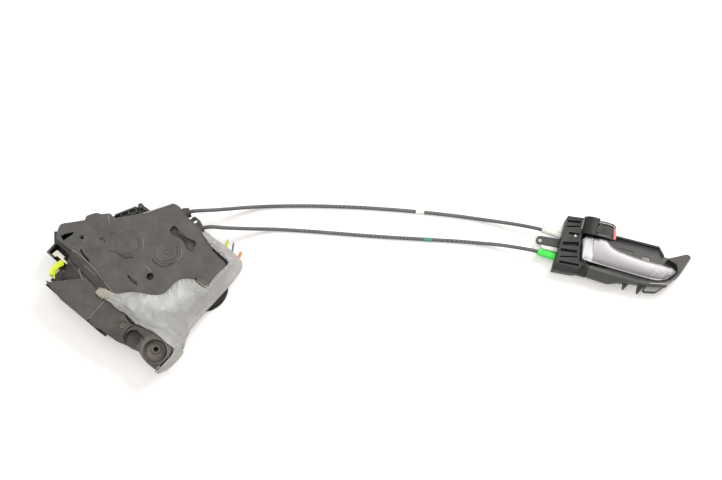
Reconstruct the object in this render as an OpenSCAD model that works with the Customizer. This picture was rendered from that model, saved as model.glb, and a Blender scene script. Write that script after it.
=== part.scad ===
// Vehicle door lock with its two pull cables and the inside door handle, laid out on a table.
// Millimetres. The latch lies with its actuator cover up, and the handle with its lever up.
// Latch pieces are drawn in latch axes: x along the strip, y across it, z up.
// Handle pieces are drawn in handle axes: x towards the lever tip, y across it, z up.

/* [Layout on the table] */
// Latch corner from the middle of the layout, along X
latch_x = -305; // [-330:1:-290]
// Latch corner from the middle of the layout, along Y
latch_y = -22; // [-40:1:0]
// Turn of the latch on the table
latch_turn = -40.5; // [-45:0.5:-36]
// Handle hinge block from the middle of the layout, along X
handle_x = 246; // [230:1:260]
// Handle hinge block from the middle of the layout, along Y
handle_y = -15; // [-30:1:0]
// Turn of the handle on the table
handle_turn = -16.5; // [-20:0.5:-12]

/* [Actuator housing] */
// Height of the cover's flat face above the table
cover_top = 50; // [48:0.5:54]
// Height of the joint between case and cover, which is also the cables' height
seam_z = 38; // [37:0.5:40]
// Height of the underside of the case
case_bottom = 18; // [14:0.5:20]
// Wall of the case and of the cover
wall = 2.2; // [1.8:0.1:2.6]
// Rounding of the housing's corners in plan
housing_corner = 3; // [1:0.5:4]
// Radius of the raised discs over the two lever pivots
pivot_disc_r = 13.5; // [10:0.5:15]
// Height of the raised discs on the cover
pivot_disc_h = 0.8; // [0.4:0.1:1.5]
// Radius of the deep screw hole in the cover
deep_hole_r = 4; // [3:0.1:4.5]
// Radius of the two lever pivot pins in the housing
pivot_pin_r = 3; // [2:0.1:4]
// Length of each lever's arm, from its pivot to its wire
lever_arm = 14; // [13:0.5:15]
// Thickness of the two cable levers
lever_t = 2; // [1.5:0.1:2.4]

/* [Lock motor and gear] */
// Radius of the motor's can
motor_r = 10; // [9:0.1:10.5]
// Height of the motor across its two flats
motor_flats = 17; // [15:0.5:18]
// Gear module of worm and wheel
gear_module = 0.8; // [0.7:0.05:0.9]
// Teeth of the worm wheel
wheel_teeth = 30; // [26:1:32]
// Face width of the worm wheel
wheel_w = 6; // [4:0.5:7]
// Pitch radius of the worm
worm_pitch_r = 3.2; // [3:0.1:3.6]

/* [Latch] */
// Height of the latch plate above the table
plate_h = 42; // [41.8:0.1:42]
// Length of the latch plate
plate_len = 79; // [79:0.5:82]
// Thickness of the steel latch plate
plate_t = 2.5; // [2:0.1:3]
// Thickness of the steel back plate
back_t = 2; // [1.5:0.1:2.5]
// Depth of the plastic latch case between the two plates
latch_case_d = 20; // [18:0.5:21]
// Width of the slot that takes the striker
striker_slot_w = 15; // [13:0.5:16]
// Radius of the fork bolt
fork_r = 17.5; // [16.5:0.1:17.6]
// Thickness of the fork bolt and the pawl
fork_t = 4.5; // [3.5:0.1:5]
// Radius of the striker bar
striker_r = 5.5; // [5:0.1:6]
// Turn of the fork bolt from open to latched
fork_turn = 62; // [55:1:65]
// Radius of the fork's and pawl's pins
latch_pin_r = 4; // [3.5:0.1:4.2]
// Radius of the threaded fixing holes in the latch plate
fixing_r = 2.5; // [2:0.1:3]
// Length of the threaded fixing holes
fixing_len = 6; // [5:0.5:8]

/* [Shield] */
// Gap between the latch plate's upper edge and the shield over it
shield_gap = 0.2; // [0.2:0.1:1]
// Wall of the shield and its foot
shield_wall = 1.8; // [1.4:0.1:2]
// Radius of the fixing cup at its rim
cup_r = 14.5; // [13:0.5:15]
// Radius of the fixing cup at its floor
cup_floor_r = 10.5; // [9:0.5:12]
// Depth of the fixing cup
cup_depth = 15; // [10:0.5:17]
// Radius of the hole through the bush in the cup
bush_bore = 3.1; // [2.6:0.1:3.3]
// Length of the bush in the cup
bush_len = 11; // [9:0.5:13]

/* [Connector and round cover] */
// Radius of the round cover under the case
round_cover_r = 26.5; // [22:0.5:28]
// Thickness of the wiring seal sheet
seal_t = 1.2; // [0.8:0.1:1.5]
// Length of the wire ends that stick out of the seal
wire_stub = 13; // [8:0.5:16]
// Radius of each wire end
wire_stub_r = 1; // [0.7:0.1:1.3]

/* [Cables] */
// Diameter of the cables' outer conduit
conduit_d = 4; // [3.5:0.1:4.4]
// Radius of the steel pull wires
pull_wire_r = 0.75; // [0.6:0.05:0.8]
// Radius of the ferrules' barrel in the housing
ferrule_r = 4; // [3.6:0.1:4.4]
// Radius of the end barrels on the pull wires
nipple_r = 1.5; // [1.2:0.1:1.6]
// Play round a pull wire in its ferrule or fitting
wire_play = 0.4; // [0.3:0.05:0.6]

/* [Inside handle] */
// Height of the hinge pin above the table
hinge_z = 24; // [23:0.5:26]
// Distance of the hinge pin from the hinge block's reference line
hinge_x = -1; // [-2:0.1:0]
// Radius of the hinge pin
hinge_pin_r = 2; // [1.6:0.1:2.4]
// Radius of the lever's rounded hinge end
lever_end_r = 8.2; // [7.6:0.1:8.6]
// Length of the handle lever from the reference line to its tip
lever_reach = 94; // [88:0.5:96]
// Height of the handle lever's face above the table
lever_top = 34; // [33.5:0.1:35]
// Thickness of the handle lever at its tip
lever_tip_t = 5; // [4:0.1:7]
// Radius of the lock knob's hood
hood_r = 12; // [11.5:0.1:12.5]
// Height of the frame plate's upper face
frame_plate_z = 10.5; // [10:0.1:11]
// Thickness of the frame plate
frame_plate_t = 2.5; // [2:0.1:3]
// Height of the ribbed hinge block
block_h = 27; // [25:0.5:28]
// Radius of the screw hole in the frame's arm
arm_hole_r = 2.2; // [1.8:0.1:2.5]

/* [Hidden] */
eps = 0.01;
// Clearance round pieces that turn or slide
play = 0.3;
// Clearance of a bore on its pin
fit = 0.05;
facets = 48;

// Height of the shield's top above the table
shield_top = plate_h + shield_gap + shield_wall;

// Middle of the layout's outer box, without the cables
mid_x = 8.75;
mid_y = -58.75;

// Outline of the actuator cover in plan
cover_outline = [
    [66, -7], [0, -1], [-22, -3], [-25.5, 0.5], [-30.5, 11], [-28, 15.4], [-23.5, 20.2], [-12.8, 32.8],
    [-15.8, 35.6], [-12.4, 41.8], [-9.2, 46.6], [-4.6, 48], [2.2, 55.6], [9, 54], [28.5, 77.5], [46, 107.5],
    [54, 109], [62, 106], [90, 104.5], [133.2, 96.4], [133.4, 64], [132, 45], [118, 12], [98, -4]
];
lock_pivot = [39.4, 43.5];
open_pivot = [76.2, 64];
// Direction in which both cables leave the housing
cable_dir = 60;
cable_out = [cos(cable_dir), sin(cable_dir)];
cable_side = [-sin(cable_dir), cos(cable_dir)];
// Distance from each pivot's foot on its wire to the cable's end
lock_run = 72.1;
open_run = 43.9;
ferrule_len = 22;
ferrule_flange = 4;
flange_lip = 1.4;
socket_r = ferrule_r + 2.4;
lock_pin_at = lock_pivot + lever_arm * cable_side;
open_pin_at = open_pivot + lever_arm * cable_side;
lock_exit = lock_pin_at + lock_run * cable_out;
open_exit = open_pin_at + open_run * cable_out;
floor_z = case_bottom + wall;
ceiling_z = cover_top - wall;
lever_z = seam_z - 3.5;
deep_hole = [80.7, 32];
ring_hole = [-3, 16];
cover_screw_at = [[2, 8], [44, 92], [98, 8], [112, 40]];
screw_head_h = 1.6;
tab_hole = [72.8, 109];

// Motor, worm and wheel
motor_z = floor_z + motor_flats / 2;
motor_y = [4.5, 31];
gear_backlash = 0.12;
wheel_pitch_r = gear_module * wheel_teeth / 2;
worm_axis_x = lock_pivot[0] - wheel_pitch_r - worm_pitch_r - gear_backlash;
worm_lead = PI * gear_module;
worm_y = [lock_pivot[1] - 2.5 * worm_lead, lock_pivot[1] + 2.5 * worm_lead];

// Latch, in the vertical plane of its plate
plate_face = -46.5;
plate_back = plate_face + plate_t;
case_back = plate_back + latch_case_d;
back_face = case_back + back_t;
fork_at = [24, 21];
pawl_at = [62, 22];
slot_x = 40;
slot_top = 21;
fork_front = plate_back + play;
fork_back = fork_front + fork_t;
pocket_floor = fork_back + play;
fixing_at = [[5, 37], [73, 37], [73, 5.5]];
outside_pivot = [12, 27];
outside_plane = [-15.5, -13.5];
cup_at = [135, -21];
shield_outline = [
    [61, -45.2], [40, -46.5], [24.5, -46.5], [-1.3, -42.4], [3, -41], [7.5, -35.6], [13, -29.7], [18, -22.4],
    [15, -16.5], [8, -13], [0, -12.5], [0.6, -1.8], [61, -7.3]
];
foot_outline = [
    [61.6, -45.2], [71, -46], [77.2, -43.6], [95, -42], [107, -38], [112, -37.6], [122, -34], [129, -36.2],
    [137, -38],
    [152.5, -37.5], [152.5, -12], [146, -8], [118, -8.5], [102, -13], [83, -12.5], [66, -9.2], [61.6, -8.7]
];

// Handle
hinge_span = [-20, 31.5];
hood_end = 33;
lever_y = [-15, 11.8];
fitting_z = 11;
lock_wire_y = 9.3;
open_wire_y = -15.6;
white_start = -53;
green_start = -51;
fitting_end = -27;
// Where the lock knob begins beside the lever
knob_y = 14.4;
cover_edge = knob_y - 3 * play;
lever_plan = [
    [-9, 7], [-6.5, 11.2], [5.8, lever_y[1]], [8, cover_edge], [15.6, cover_edge], [19, 11.1], [21.9, 8.5],
    [26.5, 6.4], [33, 5.2], [48.6, 3.8], [60, 3.2], [75, 3.9], [83, 3.9], [lever_reach - 2, 2.4],
    [lever_reach, -0.6], [lever_reach - 3.6, -6], [86, -10.4], [80.9, -12.6], [75.5, -13.8],
    [60, -14.1], [29, -14.1], [4, -14], [-4.2, -13]
];
knob_plan = [
    [1, knob_y], [1, 30.2], [4, 30.6], [9, 31.6], [19.2, 31.2], [21.6, 27.8], [24.4, 15.8], [22.4, knob_y]
];
// Strip along the knob's outer end that holds the red mark
mark_strip = [[19.2, 26.4], [30, 26.4], [30, 15], [21.9, 15]];
mark_depth = 6;

// Cable routes from the latch to the handle, in the layout's own X and Y
lock_route = [
    [-174, 24.7, 36], [-160, 26.6, 30.6], [-145, 29.9, 21.6], [-130, 33.4, 12.6], [-115, 36, 6.1],
    [-98, 37.5, 2.8], [-80, 37.9, 2.4], [-54, 37.9, 2.4], [-28, 37.3, 2.4], [0, 36.1, 2.4], [26, 34.4, 2.4],
    [52, 32.3, 2.4], [78, 29.8, 2.4], [105, 26.6, 2.6], [130, 22.8, 3.6], [155, 18.4, 7], [176, 14.2, 10]
];
open_route = [
    [-160, 6.8, 36], [-146, 6.9, 30.4], [-132, 8.3, 21.4], [-118, 9.8, 12.4], [-104, 11, 6],
    [-89, 11.2, 2.8], [-72, 10.3, 2.4], [-50, 8.8, 2.4], [-27, 7, 2.4], [0, 4.8, 2.4], [26, 2.9, 2.4],
    [52, 1.3, 2.4], [74, 0, 2.4], [104, -1.8, 2.6], [130, -4.2, 3.6], [152, -7, 7], [171, -10.6, 10]
];

// Small sums on outlines and points
function turned(p, a) = [p[0] * cos(a) - p[1] * sin(a), p[0] * sin(a) + p[1] * cos(a)];
function latch_point(p, z) = concat([latch_x, latch_y] + turned(p, latch_turn), [z]);
function handle_point(p, z) = concat([handle_x, handle_y] + turned(p, handle_turn), [z]);
function arc(at, r, from, to, n) = [for (i = [0 : n]) at + r * [cos(from + (to - from) * i / n),
    sin(from + (to - from) * i / n)]];
function dir(a, b) = (b - a) / norm(b - a);
function left(d) = [-d[1], d[0]];
function area(p, i = 0) = i >= len(p) ? 0
    : p[i][0] * p[(i + 1) % len(p)][1] - p[(i + 1) % len(p)][0] * p[i][1] + area(p, i + 1);

// The outline moved inwards by d, with every edge parallel to its own
function inset(p, d) = let (s = area(p) > 0 ? 1 : -1, n = len(p)) [for (i = [0 : n - 1])
    let (n1 = s * left(dir(p[(i + n - 1) % n], p[i])), n2 = s * left(dir(p[i], p[(i + 1) % n])))
    p[i] + (n1 + n2) * d / (1 + n1 * n2)];

// The outline with each corner cut by a short curve of the given reach
function rounded(p, r, n = 3) = [for (i = [0 : len(p) - 1]) let (
        a = p[(i + len(p) - 1) % len(p)], b = p[i], c = p[(i + 1) % len(p)],
        ra = min(r, 0.45 * norm(a - b)), rc = min(r, 0.45 * norm(c - b)))
    for (k = [0 : n]) let (t = k / n)
        (1 - t) * (1 - t) * (b + ra * dir(b, a)) + 2 * t * (1 - t) * b + t * t * (b + rc * dir(b, c))];

// A smooth run of points through the given ones
function spline(p, steps) = concat([for (i = [0 : len(p) - 2], k = [0 : steps - 1]) let (
        a = i == 0 ? 2 * p[0] - p[1] : p[i - 1], b = p[i], c = p[i + 1],
        d = i == len(p) - 2 ? 2 * p[i + 1] - p[i] : p[i + 2], t = k / steps)
    0.5 * (2 * b + (c - a) * t + (2 * a - 5 * b + 4 * c - d) * t * t + (3 * b - a - 3 * c + d) * t * t * t)],
    [p[len(p) - 1]]);

function unit(v) = v / norm(v);

// A round tube swept along points, closed at both ends
module tube(p, r, sides) {
    n = len(p);
    rings = [for (i = [0 : n - 1]) let (
            t = unit(i == 0 ? p[1] - p[0] : i == n - 1 ? p[i] - p[i - 1] : p[i + 1] - p[i - 1]),
            u = unit(cross(t, abs(t[2]) > 0.9 ? [1, 0, 0] : [0, 0, 1])), v = cross(u, t))
        for (k = [0 : sides - 1]) p[i] + r * (cos(360 * k / sides) * u + sin(360 * k / sides) * v)];
    walls = [for (i = [0 : n - 2], k = [0 : sides - 1]) let (
            a = i * sides + k, b = i * sides + (k + 1) % sides)
        each [[a, b, b + sides], [a, b + sides, a + sides]]];
    caps = [[for (k = [sides - 1 : -1 : 0]) k], [for (k = [0 : sides - 1]) (n - 1) * sides + k]];
    polyhedron(rings, concat(walls, caps));
}

// A helical spring round the Z axis, with two straight legs that run on from its ends
module coil(r, wire_r, turns, pitch, leg) {
    steps = 10;
    helix = [for (i = [0 : turns * steps]) [r * cos(360 * i / steps), r * sin(360 * i / steps),
        pitch * i / steps]];
    last = len(helix) - 1;
    tube(concat([helix[0] - [0, leg, 0]], helix, [helix[last] + [0, leg, 0]]), wire_r, 6);
}

module on_latch() translate([latch_x - mid_x, latch_y - mid_y, 0]) rotate([0, 0, latch_turn]) children();
module on_handle() translate([handle_x - mid_x, handle_y - mid_y, 0]) rotate([0, 0, handle_turn]) children();
module on_table() translate([-mid_x, -mid_y, 0]) children();

// A plate in plan between two heights
module slab(outline, z0, z1) translate([0, 0, z0]) linear_extrude(z1 - z0) polygon(outline);

// A plate in the vertical plane across Y, between two places along Y
module upright(y0, y1) translate([0, y1, 0]) rotate([90, 0, 0]) linear_extrude(y1 - y0) children();

// A rod along Y
module cross_rod(at, r, y0, y1) translate([at[0], y0, at[1]]) rotate([-90, 0, 0]) cylinder(r = r, h = y1 - y0,
    $fn = facets);

module post(at, r, z0, z1) translate([at[0], at[1], z0]) cylinder(r = r, h = z1 - z0, $fn = facets);

// A bar in plan from one point to another
module bar(from, to, w, z0, z1) {
    d = dir(from, to);
    s = left(d) * w / 2;
    slab([from - s, to - s, to + s, from + s], z0, z1);
}

// A rod along the cables' direction, placed by its distance inwards from the cable's end
module cable_rod(exit, r, from, to) translate([exit[0], exit[1], seam_z]) rotate([0, 0, cable_dir])
    rotate([0, 90, 0]) translate([0, 0, from]) cylinder(r = r, h = to - from, $fn = facets);

// The two sockets that hold the ferrules, cut in halves by the joint of case and cover
module socket_bodies() for (e = [lock_exit, open_exit])
    cable_rod(e, socket_r, ferrule_flange - ferrule_len, -ferrule_flange);
module socket_bores() for (e = [lock_exit, open_exit]) {
    cable_rod(e, ferrule_r, -ferrule_len - 6, eps);
    cable_rod(e, ferrule_r + flange_lip, -ferrule_flange, 2);
}

// Actuator housing
housing_r = rounded(cover_outline, housing_corner);
housing_in = rounded(inset(cover_outline, wall), housing_corner);
dog_bone = [
    [62.5, 89.5], [67.5, 90], [72, 87.2], [81, 87.6], [91, 91.5], [95, 90], [94.5, 79.5], [89.5, 79],
    [81, 83.4], [73, 83], [68, 80.5], [63, 81.5]
];
dog_bone_depth = 4.6;
wire_window = [[101, 79], [140, 79], [140, 110], [101, 110]];

module actuator_cover() color([0.39, 0.38, 0.38]) on_latch() difference() {
    union() {
        difference() {
            slab(housing_r, seam_z, cover_top);
            slab(housing_in, seam_z - 1, ceiling_z);
        }
        intersection() {
            difference() {
                socket_bodies();
                slab(housing_in, ceiling_z - 2, ceiling_z + 1);
            }
            translate([0, 50, seam_z]) linear_extrude(socket_r + 1) square([120, 80]);
        }
        for (p = [lock_pivot, open_pivot]) {
            post(p, pivot_disc_r, cover_top - eps, cover_top + pivot_disc_h);
            post(p, 3.2, cover_top, cover_top + pivot_disc_h + 0.6);
            post(p, pivot_pin_r + 2, ceiling_z - 3, ceiling_z + eps);
        }
        post(ring_hole, 4.2, cover_top - eps, cover_top + 0.8);
        bar([29.4, 77.5], [46.4, 106.6], 1.4, cover_top - eps, cover_top + 1.2);
        bar([7, 49.8], [20, 39.3], 1.4, cover_top - eps, cover_top + 0.9);
        post(deep_hole, deep_hole_r + 1.6, seam_z, ceiling_z + eps);
        for (p = cover_screw_at) post(p, 3.6, seam_z, ceiling_z + eps);
        slab(rounded(inset(dog_bone, -1.6), 2, 2), cover_top - dog_bone_depth - wall, ceiling_z + eps);
    }
    socket_bores();
    slab(rounded(dog_bone, 1.5, 2), cover_top - dog_bone_depth, cover_top + 2);
    post(deep_hole, deep_hole_r, seam_z + wall, cover_top + 2);
    for (p = cover_screw_at) post(p, 1.5, seam_z - 1, seam_z + 7);
    post(ring_hole, 1.6, ceiling_z - 1, cover_top + 3);
    post(ring_hole, 2.8, cover_top - 1, cover_top + 3);
    // Gap beside the raised left corner
    slab([[-21, 2.5], [-19.5, 7], [-13.4, 15.4], [-12.6, 12], [-15.6, 1]], ceiling_z - 1, cover_top + 2);
    for (p = [lock_pivot, open_pivot]) {
        post(p, 1, ceiling_z - 4, cover_top + 3);
        post(p, pivot_pin_r, ceiling_z - 3.5, ceiling_z);
        slab(concat(arc(p, pivot_disc_r - 2, -70, 75, 8), arc(p, pivot_disc_r - 3, 75, -70, 8)),
            cover_top, cover_top + 2);
    }
    bar([60.6, 18], [74.7, 18.2], 1.6, cover_top - 1, cover_top + 1);
    bar([5.6, 4.7], [20.3, 2.4], 1.6, cover_top - 1.2, cover_top + 1);
    slab(concat(arc([20, 29], 7, 150, 210, 5), arc([20, 29], 5.8, 210, 150, 5)),
        cover_top - 0.8, cover_top + 1);
}

module case_outline_2d() difference() {
    polygon(housing_r);
    polygon(wire_window);
}

module actuator_case() color([0.2, 0.2, 0.2]) on_latch() difference() {
    union() {
        difference() {
            translate([0, 0, case_bottom]) linear_extrude(seam_z - case_bottom) case_outline_2d();
            translate([0, 0, floor_z]) linear_extrude(seam_z) difference() {
                polygon(housing_in);
                polygon([[101 - wall, 79 - wall], [140, 79 - wall], [140, 110], [101 - wall, 110]]);
            }
        }
        // Pocket of the outside lever at the left end
        difference() {
            slab(rounded([[-23.5, -20], [-2, -20], [-2, -1.5], [-23.5, -2.5]], 1), case_bottom, 41);
            slab([[-21.5, -18], [1, -18], [1, -6], [-21.5, -6]], floor_z, 42);
            slab([[-14, -21], [1, -21], [1, -6], [-14, -6]], floor_z, 42);
            slab(inset(cover_outline, -0.1), seam_z, 42);
        }
        // Wall between the lever's pocket and the latch
        slab([[-3, -21.4], [5, -21.4], [5, -16.4], [-3, -16.4]], case_bottom, 25);
        // Block at the left corner
        difference() {
            slab([[-33, 2], [-27.5, 7], [-23, 2], [-22.4, -3], [-24.5, -7]], 24, 40);
            slab(inset(cover_outline, -0.1), seam_z, 42);
        }
        // Bracket along the upper edge, with its ribs and its peg
        slab(rounded([[3, 55], [16, 79], [17.5, 84.5], [24.5, 86], [31, 86], [30, 76], [10, 52]], 2),
            26, seam_z);
        for (i = [0 : 3])
            bar([7.4 + 4.6 * i, 63.6 + 7 * i], [11.8 + 4.6 * i, 61 + 7 * i], 1.6, seam_z - eps, seam_z + 5);
        bar([5.5, 57], [16.8, 79], 1.8, seam_z - eps, seam_z + 6);
        post([19.8, 82.6], 3, seam_z - eps, seam_z + 7);
        // Tab with its hole between the two ferrules
        slab(rounded([[68, 100], [79, 100], [79, 113], [68, 113]], 3), 26, 34);
        // Arms that carry the latch
        for (x = [42, 53]) slab([[x, back_face], [x + 7, back_face], [x + 7, -4], [x, -4]], 22, 34);
        intersection() {
            socket_bodies();
            translate([0, 50, seam_z - socket_r - 1]) linear_extrude(socket_r + 1) square([120, 80]);
        }
        for (p = [lock_pivot, open_pivot]) post(p, pivot_pin_r + 2, floor_z - eps, floor_z + 3);
        for (p = cover_screw_at) post(p, 3.6, floor_z - eps, seam_z);
        post(deep_hole, deep_hole_r + 1.6, floor_z - eps, seam_z);
        // Stiffening ribs under the floor
        for (i = [0 : 3]) bar([8 + 26 * i, 6], [20 + 26 * i, 50], 1.8, case_bottom - 3, case_bottom + eps);
        bar([0, 20], [96, 34], 1.8, case_bottom - 3, case_bottom + eps);
    }
    socket_bores();
    post(tab_hole, 2.4, 25, 35);
    for (p = [lock_pivot, open_pivot]) post(p, pivot_pin_r, floor_z, floor_z + 4);
    for (p = cover_screw_at) post(p, 1.5, case_bottom - 1, seam_z + 1);
}

module pivot_pins() color([0.7, 0.7, 0.72]) on_latch() for (p = [lock_pivot, open_pivot])
    post(p, pivot_pin_r, floor_z, ceiling_z);

module lock_motor() color([0.72, 0.72, 0.74]) on_latch() {
    intersection() {
        cross_rod([worm_axis_x, motor_z], motor_r, motor_y[0], motor_y[1]);
        translate([worm_axis_x - motor_r, motor_y[0], floor_z]) cube([2 * motor_r, 40, motor_flats]);
    }
    cross_rod([worm_axis_x, motor_z], 3, motor_y[1] - eps, motor_y[1] + 2.5);
}

// Worm: a round thread profile turned along its own length
module motor_worm() color([0.85, 0.82, 0.7]) on_latch() {
    length = worm_y[1] - worm_y[0];
    root = worm_pitch_r - gear_module * 1.1;
    crest = worm_pitch_r + gear_module * 0.85;
    profile = [for (i = [0 : 15]) let (a = 22.5 * i,
        lift = max(0, min(1, 0.22 + 0.85 * cos(a))))
        (root + (crest - root) * lift) * [cos(a), sin(a)]];
    translate([worm_axis_x, worm_y[1], motor_z]) rotate([90, 0, 0])
        linear_extrude(length, twist = -360 * length / worm_lead, slices = 54) polygon(profile);
    cross_rod([worm_axis_x, motor_z], 1, motor_y[1] + 2.5 + play, worm_y[0] + 1);
    cross_rod([worm_axis_x, motor_z], 1, worm_y[1] - 1, worm_y[1] + 3);
}

module worm_wheel() color([0.88, 0.86, 0.78]) on_latch() translate([lock_pivot[0], lock_pivot[1], 0]) {
    tip = wheel_pitch_r + gear_module * 0.85;
    root = wheel_pitch_r - gear_module * 1.1;
    step = 360 / wheel_teeth;
    teeth = [for (i = [0 : wheel_teeth - 1]) let (a = 180 + step * i) each [
        root * [cos(a - step * 0.33), sin(a - step * 0.33)], tip * [cos(a - step * 0.1), sin(a - step * 0.1)],
        tip * [cos(a + step * 0.1), sin(a + step * 0.1)],
        root * [cos(a + step * 0.33), sin(a + step * 0.33)]]];
    difference() {
        union() {
            slab(teeth, motor_z - wheel_w / 2, motor_z + wheel_w / 2);
            translate([0, 0, floor_z + 3 + play])
                cylinder(r = pivot_pin_r + 2.5, h = lever_z - floor_z - 3 - 2 * play, $fn = facets);
        }
        translate([0, 0, floor_z]) cylinder(r = pivot_pin_r + fit, h = 20, $fn = facets);
        for (a = [0 : 60 : 300]) rotate([0, 0, a]) translate([7.8, 0, floor_z])
            cylinder(r = 1.6, h = 20, $fn = 24);
    }
}

// A lever on a pivot, with a slotted arm for a wire's end barrel
module cable_lever(pivot, tail) {
    slot_w = 2 * (nipple_r + 1.3);
    far = lever_arm + nipple_r + 3.4;
    translate([pivot[0], pivot[1], lever_z]) difference() {
        union() {
            cylinder(r = pivot_pin_r + 3.5, h = lever_t, $fn = facets);
            cylinder(r = pivot_pin_r + 2.2, h = ceiling_z - 3 - play - lever_z, $fn = facets);
            rotate([0, 0, cable_dir + 90]) translate([0, -slot_w / 2 - 2.4, 0])
                cube([far, slot_w + 4.8, lever_t]);
            linear_extrude(lever_t) polygon(tail);
        }
        translate([0, 0, -1]) cylinder(r = pivot_pin_r + fit, h = 20, $fn = facets);
        rotate([0, 0, cable_dir + 90]) translate([lever_arm - nipple_r - 1, -slot_w / 2, -1])
            cube([20, slot_w, lever_t + 2]);
    }
}

module lock_lever() color([0.75, 0.72, 0.6]) on_latch()
    cable_lever(lock_pivot, [[0, -5], [14, -10], [17, -6], [4, 4]]);
module open_lever() color([0.75, 0.72, 0.6]) on_latch()
    cable_lever(open_pivot, [[-5, 0], [-6, -20], [-1, -21], [5, 0]]);

module position_switch() color([0.15, 0.15, 0.16]) on_latch() translate([0, 0, floor_z]) {
    translate([41, 64, 0]) cube([9, 14, 7]);
    translate([43.5, 61, 2]) cube([4, 3 + eps, 3]);
}

// Screws of the housing, driven from below
module cover_screws() color([0.55, 0.55, 0.57]) on_latch() for (p = cover_screw_at) {
    post(p, 2.7, case_bottom - screw_head_h, case_bottom);
    post(p, 1.5, case_bottom - eps, seam_z + 6);
}

round_cover_at = [122, 63];
module round_cover() color([0.17, 0.17, 0.17]) on_latch() difference() {
    union() {
        post(round_cover_at, round_cover_r, 0, 3);
        post(round_cover_at, round_cover_r - 2.5, 3 - eps, case_bottom - 6);
        intersection() {
            post(round_cover_at, round_cover_r - 8, case_bottom - 7, case_bottom);
            slab(housing_r, 0, cover_top);
        }
    }
    post(round_cover_at, round_cover_r - 6, -1, case_bottom - 8);
    for (a = [200 : 20 : 340]) translate([round_cover_at[0], round_cover_at[1], -1]) rotate([0, 0, a])
        translate([round_cover_r - 1, -1.5, 0]) cube([3, 3, 3]);
}

connector_box = [[103.5, 81.5], [136, 106]];
module harness_connector() color([0.12, 0.12, 0.13]) on_latch() {
    translate([connector_box[0][0], connector_box[0][1], 20]) cube([32.5, 20, seam_z - 20]);
    slab([[105, 101], [136, 101], [136, 106], [108.5, 106]], 22, seam_z - 2);
    for (i = [0 : 3]) translate([106 + 7.4 * i, 90, 18.5]) cube([4, 9, 2]);
}

wire_end_at = [[116, 28], [125.5, 29], [133.5, 29]];
module wire_ends() on_latch() for (i = [0 : 2])
    color([[0.9, 0.85, 0.2], [0.35, 0.5, 0.5], [0.95, 0.55, 0.25]][i])
        cross_rod(wire_end_at[i], wire_stub_r, connector_box[1][1], connector_box[1][1] + wire_stub);

// Wiring seal: rows across the sheet, each from the panel over its edge and down
on_cover = cover_top + 0.4;
over_edge = cover_top + 0.3;
on_foot = shield_top + 0.6;
seal_rows = [
    [[91, 101, on_cover], [91, 105.8, over_edge], [92, 108.5, 42]],
    [[104, 98.6, on_cover], [105, 104.8, over_edge], [106, 109.5, 36]],
    [[118, 98.4, on_cover], [119, 103.4, over_edge], [120, 110.5, 34]],
    [[130, 95.6, on_cover], [134.4, 101.2, over_edge], [139.4, 109.5, 32]],
    [[131.6, 86, on_cover], [136.2, 90.6, over_edge], [145.8, 97, 26]],
    [[131.6, 78, on_cover], [136, 77, over_edge], [147, 80, 21]],
    [[131.2, 67, on_cover], [136, 62, over_edge], [146.5, 58, 20]],
    [[117, 61, on_cover], [134.5, 44, over_edge], [145.5, 38, 20]],
    [[106, 47, on_cover], [128, 26, over_edge], [145, 20, 22]],
    [[103, 30, on_cover], [121, 9, over_edge], [149, 9, 26]],
    [[95, 19, on_cover], [112, 2, over_edge], [157.5, -4, 36]],
    [[85, 12, on_cover], [103, -4.5, over_edge], [143, -6, on_foot]],
    [[77, 6, on_cover], [91, -7.5, over_edge], [117, -9, on_foot]],
    [[70, -1, on_cover], [80, -9, over_edge - 0.1], [101, -14.5, on_foot]],
    [[62.5, -6.4, on_cover + 0.1], [67, -11.5, over_edge - 1.3], [84, -14, on_foot]],
    [[54, -12.4, on_foot + 1], [57, -13.4, on_foot + 0.6], [68, -16.4, on_foot]],
    [[49, -14.5, on_foot + 0.2], [49, -16.4, on_foot + 0.1], [51, -18.5, on_foot]]
];
seal_n = len(seal_rows);
function at(i, k, top) = i * 3 + k + (top ? 3 * seal_n : 0);
module wiring_seal() color([0.74, 0.74, 0.72]) on_latch() {
    n = seal_n;
    under = [for (r = seal_rows, p = r) p];
    over = [for (p = under) p + [0, 0, seal_t]];
    tops = [for (i = [0 : n - 2], k = [0 : 1]) each [
        [at(i, k, true), at(i + 1, k, true), at(i + 1, k + 1, true)],
        [at(i, k, true), at(i + 1, k + 1, true), at(i, k + 1, true)]]];
    bottoms = [for (i = [0 : n - 2], k = [0 : 1]) each [
        [at(i, k, false), at(i + 1, k + 1, false), at(i + 1, k, false)],
        [at(i, k, false), at(i, k + 1, false), at(i + 1, k + 1, false)]]];
    sides = [for (i = [0 : n - 2]) each [
        [at(i, 0, false), at(i + 1, 0, false), at(i + 1, 0, true)],
        [at(i, 0, false), at(i + 1, 0, true), at(i, 0, true)],
        [at(i, 2, true), at(i + 1, 2, true), at(i + 1, 2, false)],
        [at(i, 2, true), at(i + 1, 2, false), at(i, 2, false)]]];
    ends = [for (k = [0 : 1]) each [
        [at(0, k, true), at(0, k + 1, true), at(0, k + 1, false)],
        [at(0, k, true), at(0, k + 1, false), at(0, k, false)],
        [at(n - 1, k, false), at(n - 1, k + 1, false), at(n - 1, k + 1, true)],
        [at(n - 1, k, false), at(n - 1, k + 1, true), at(n - 1, k, true)]]];
    polyhedron(concat(under, over), concat(tops, bottoms, sides, ends));
}

// Latch
module striker_slot_2d(w) {
    translate([slot_x - w / 2, -1]) square([w, slot_top + 1]);
    translate([slot_x, slot_top]) circle(r = w / 2, $fn = facets);
    polygon([
        [slot_x - w / 2 - 4, -eps], [slot_x + w / 2 + 4, -eps], [slot_x + w / 2, 5], [slot_x - w / 2, 5]]);
}
plate_outline = [[-1, 0], [plate_len - 1, 0], [plate_len - 1, plate_h], [-1, plate_h]];

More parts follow.
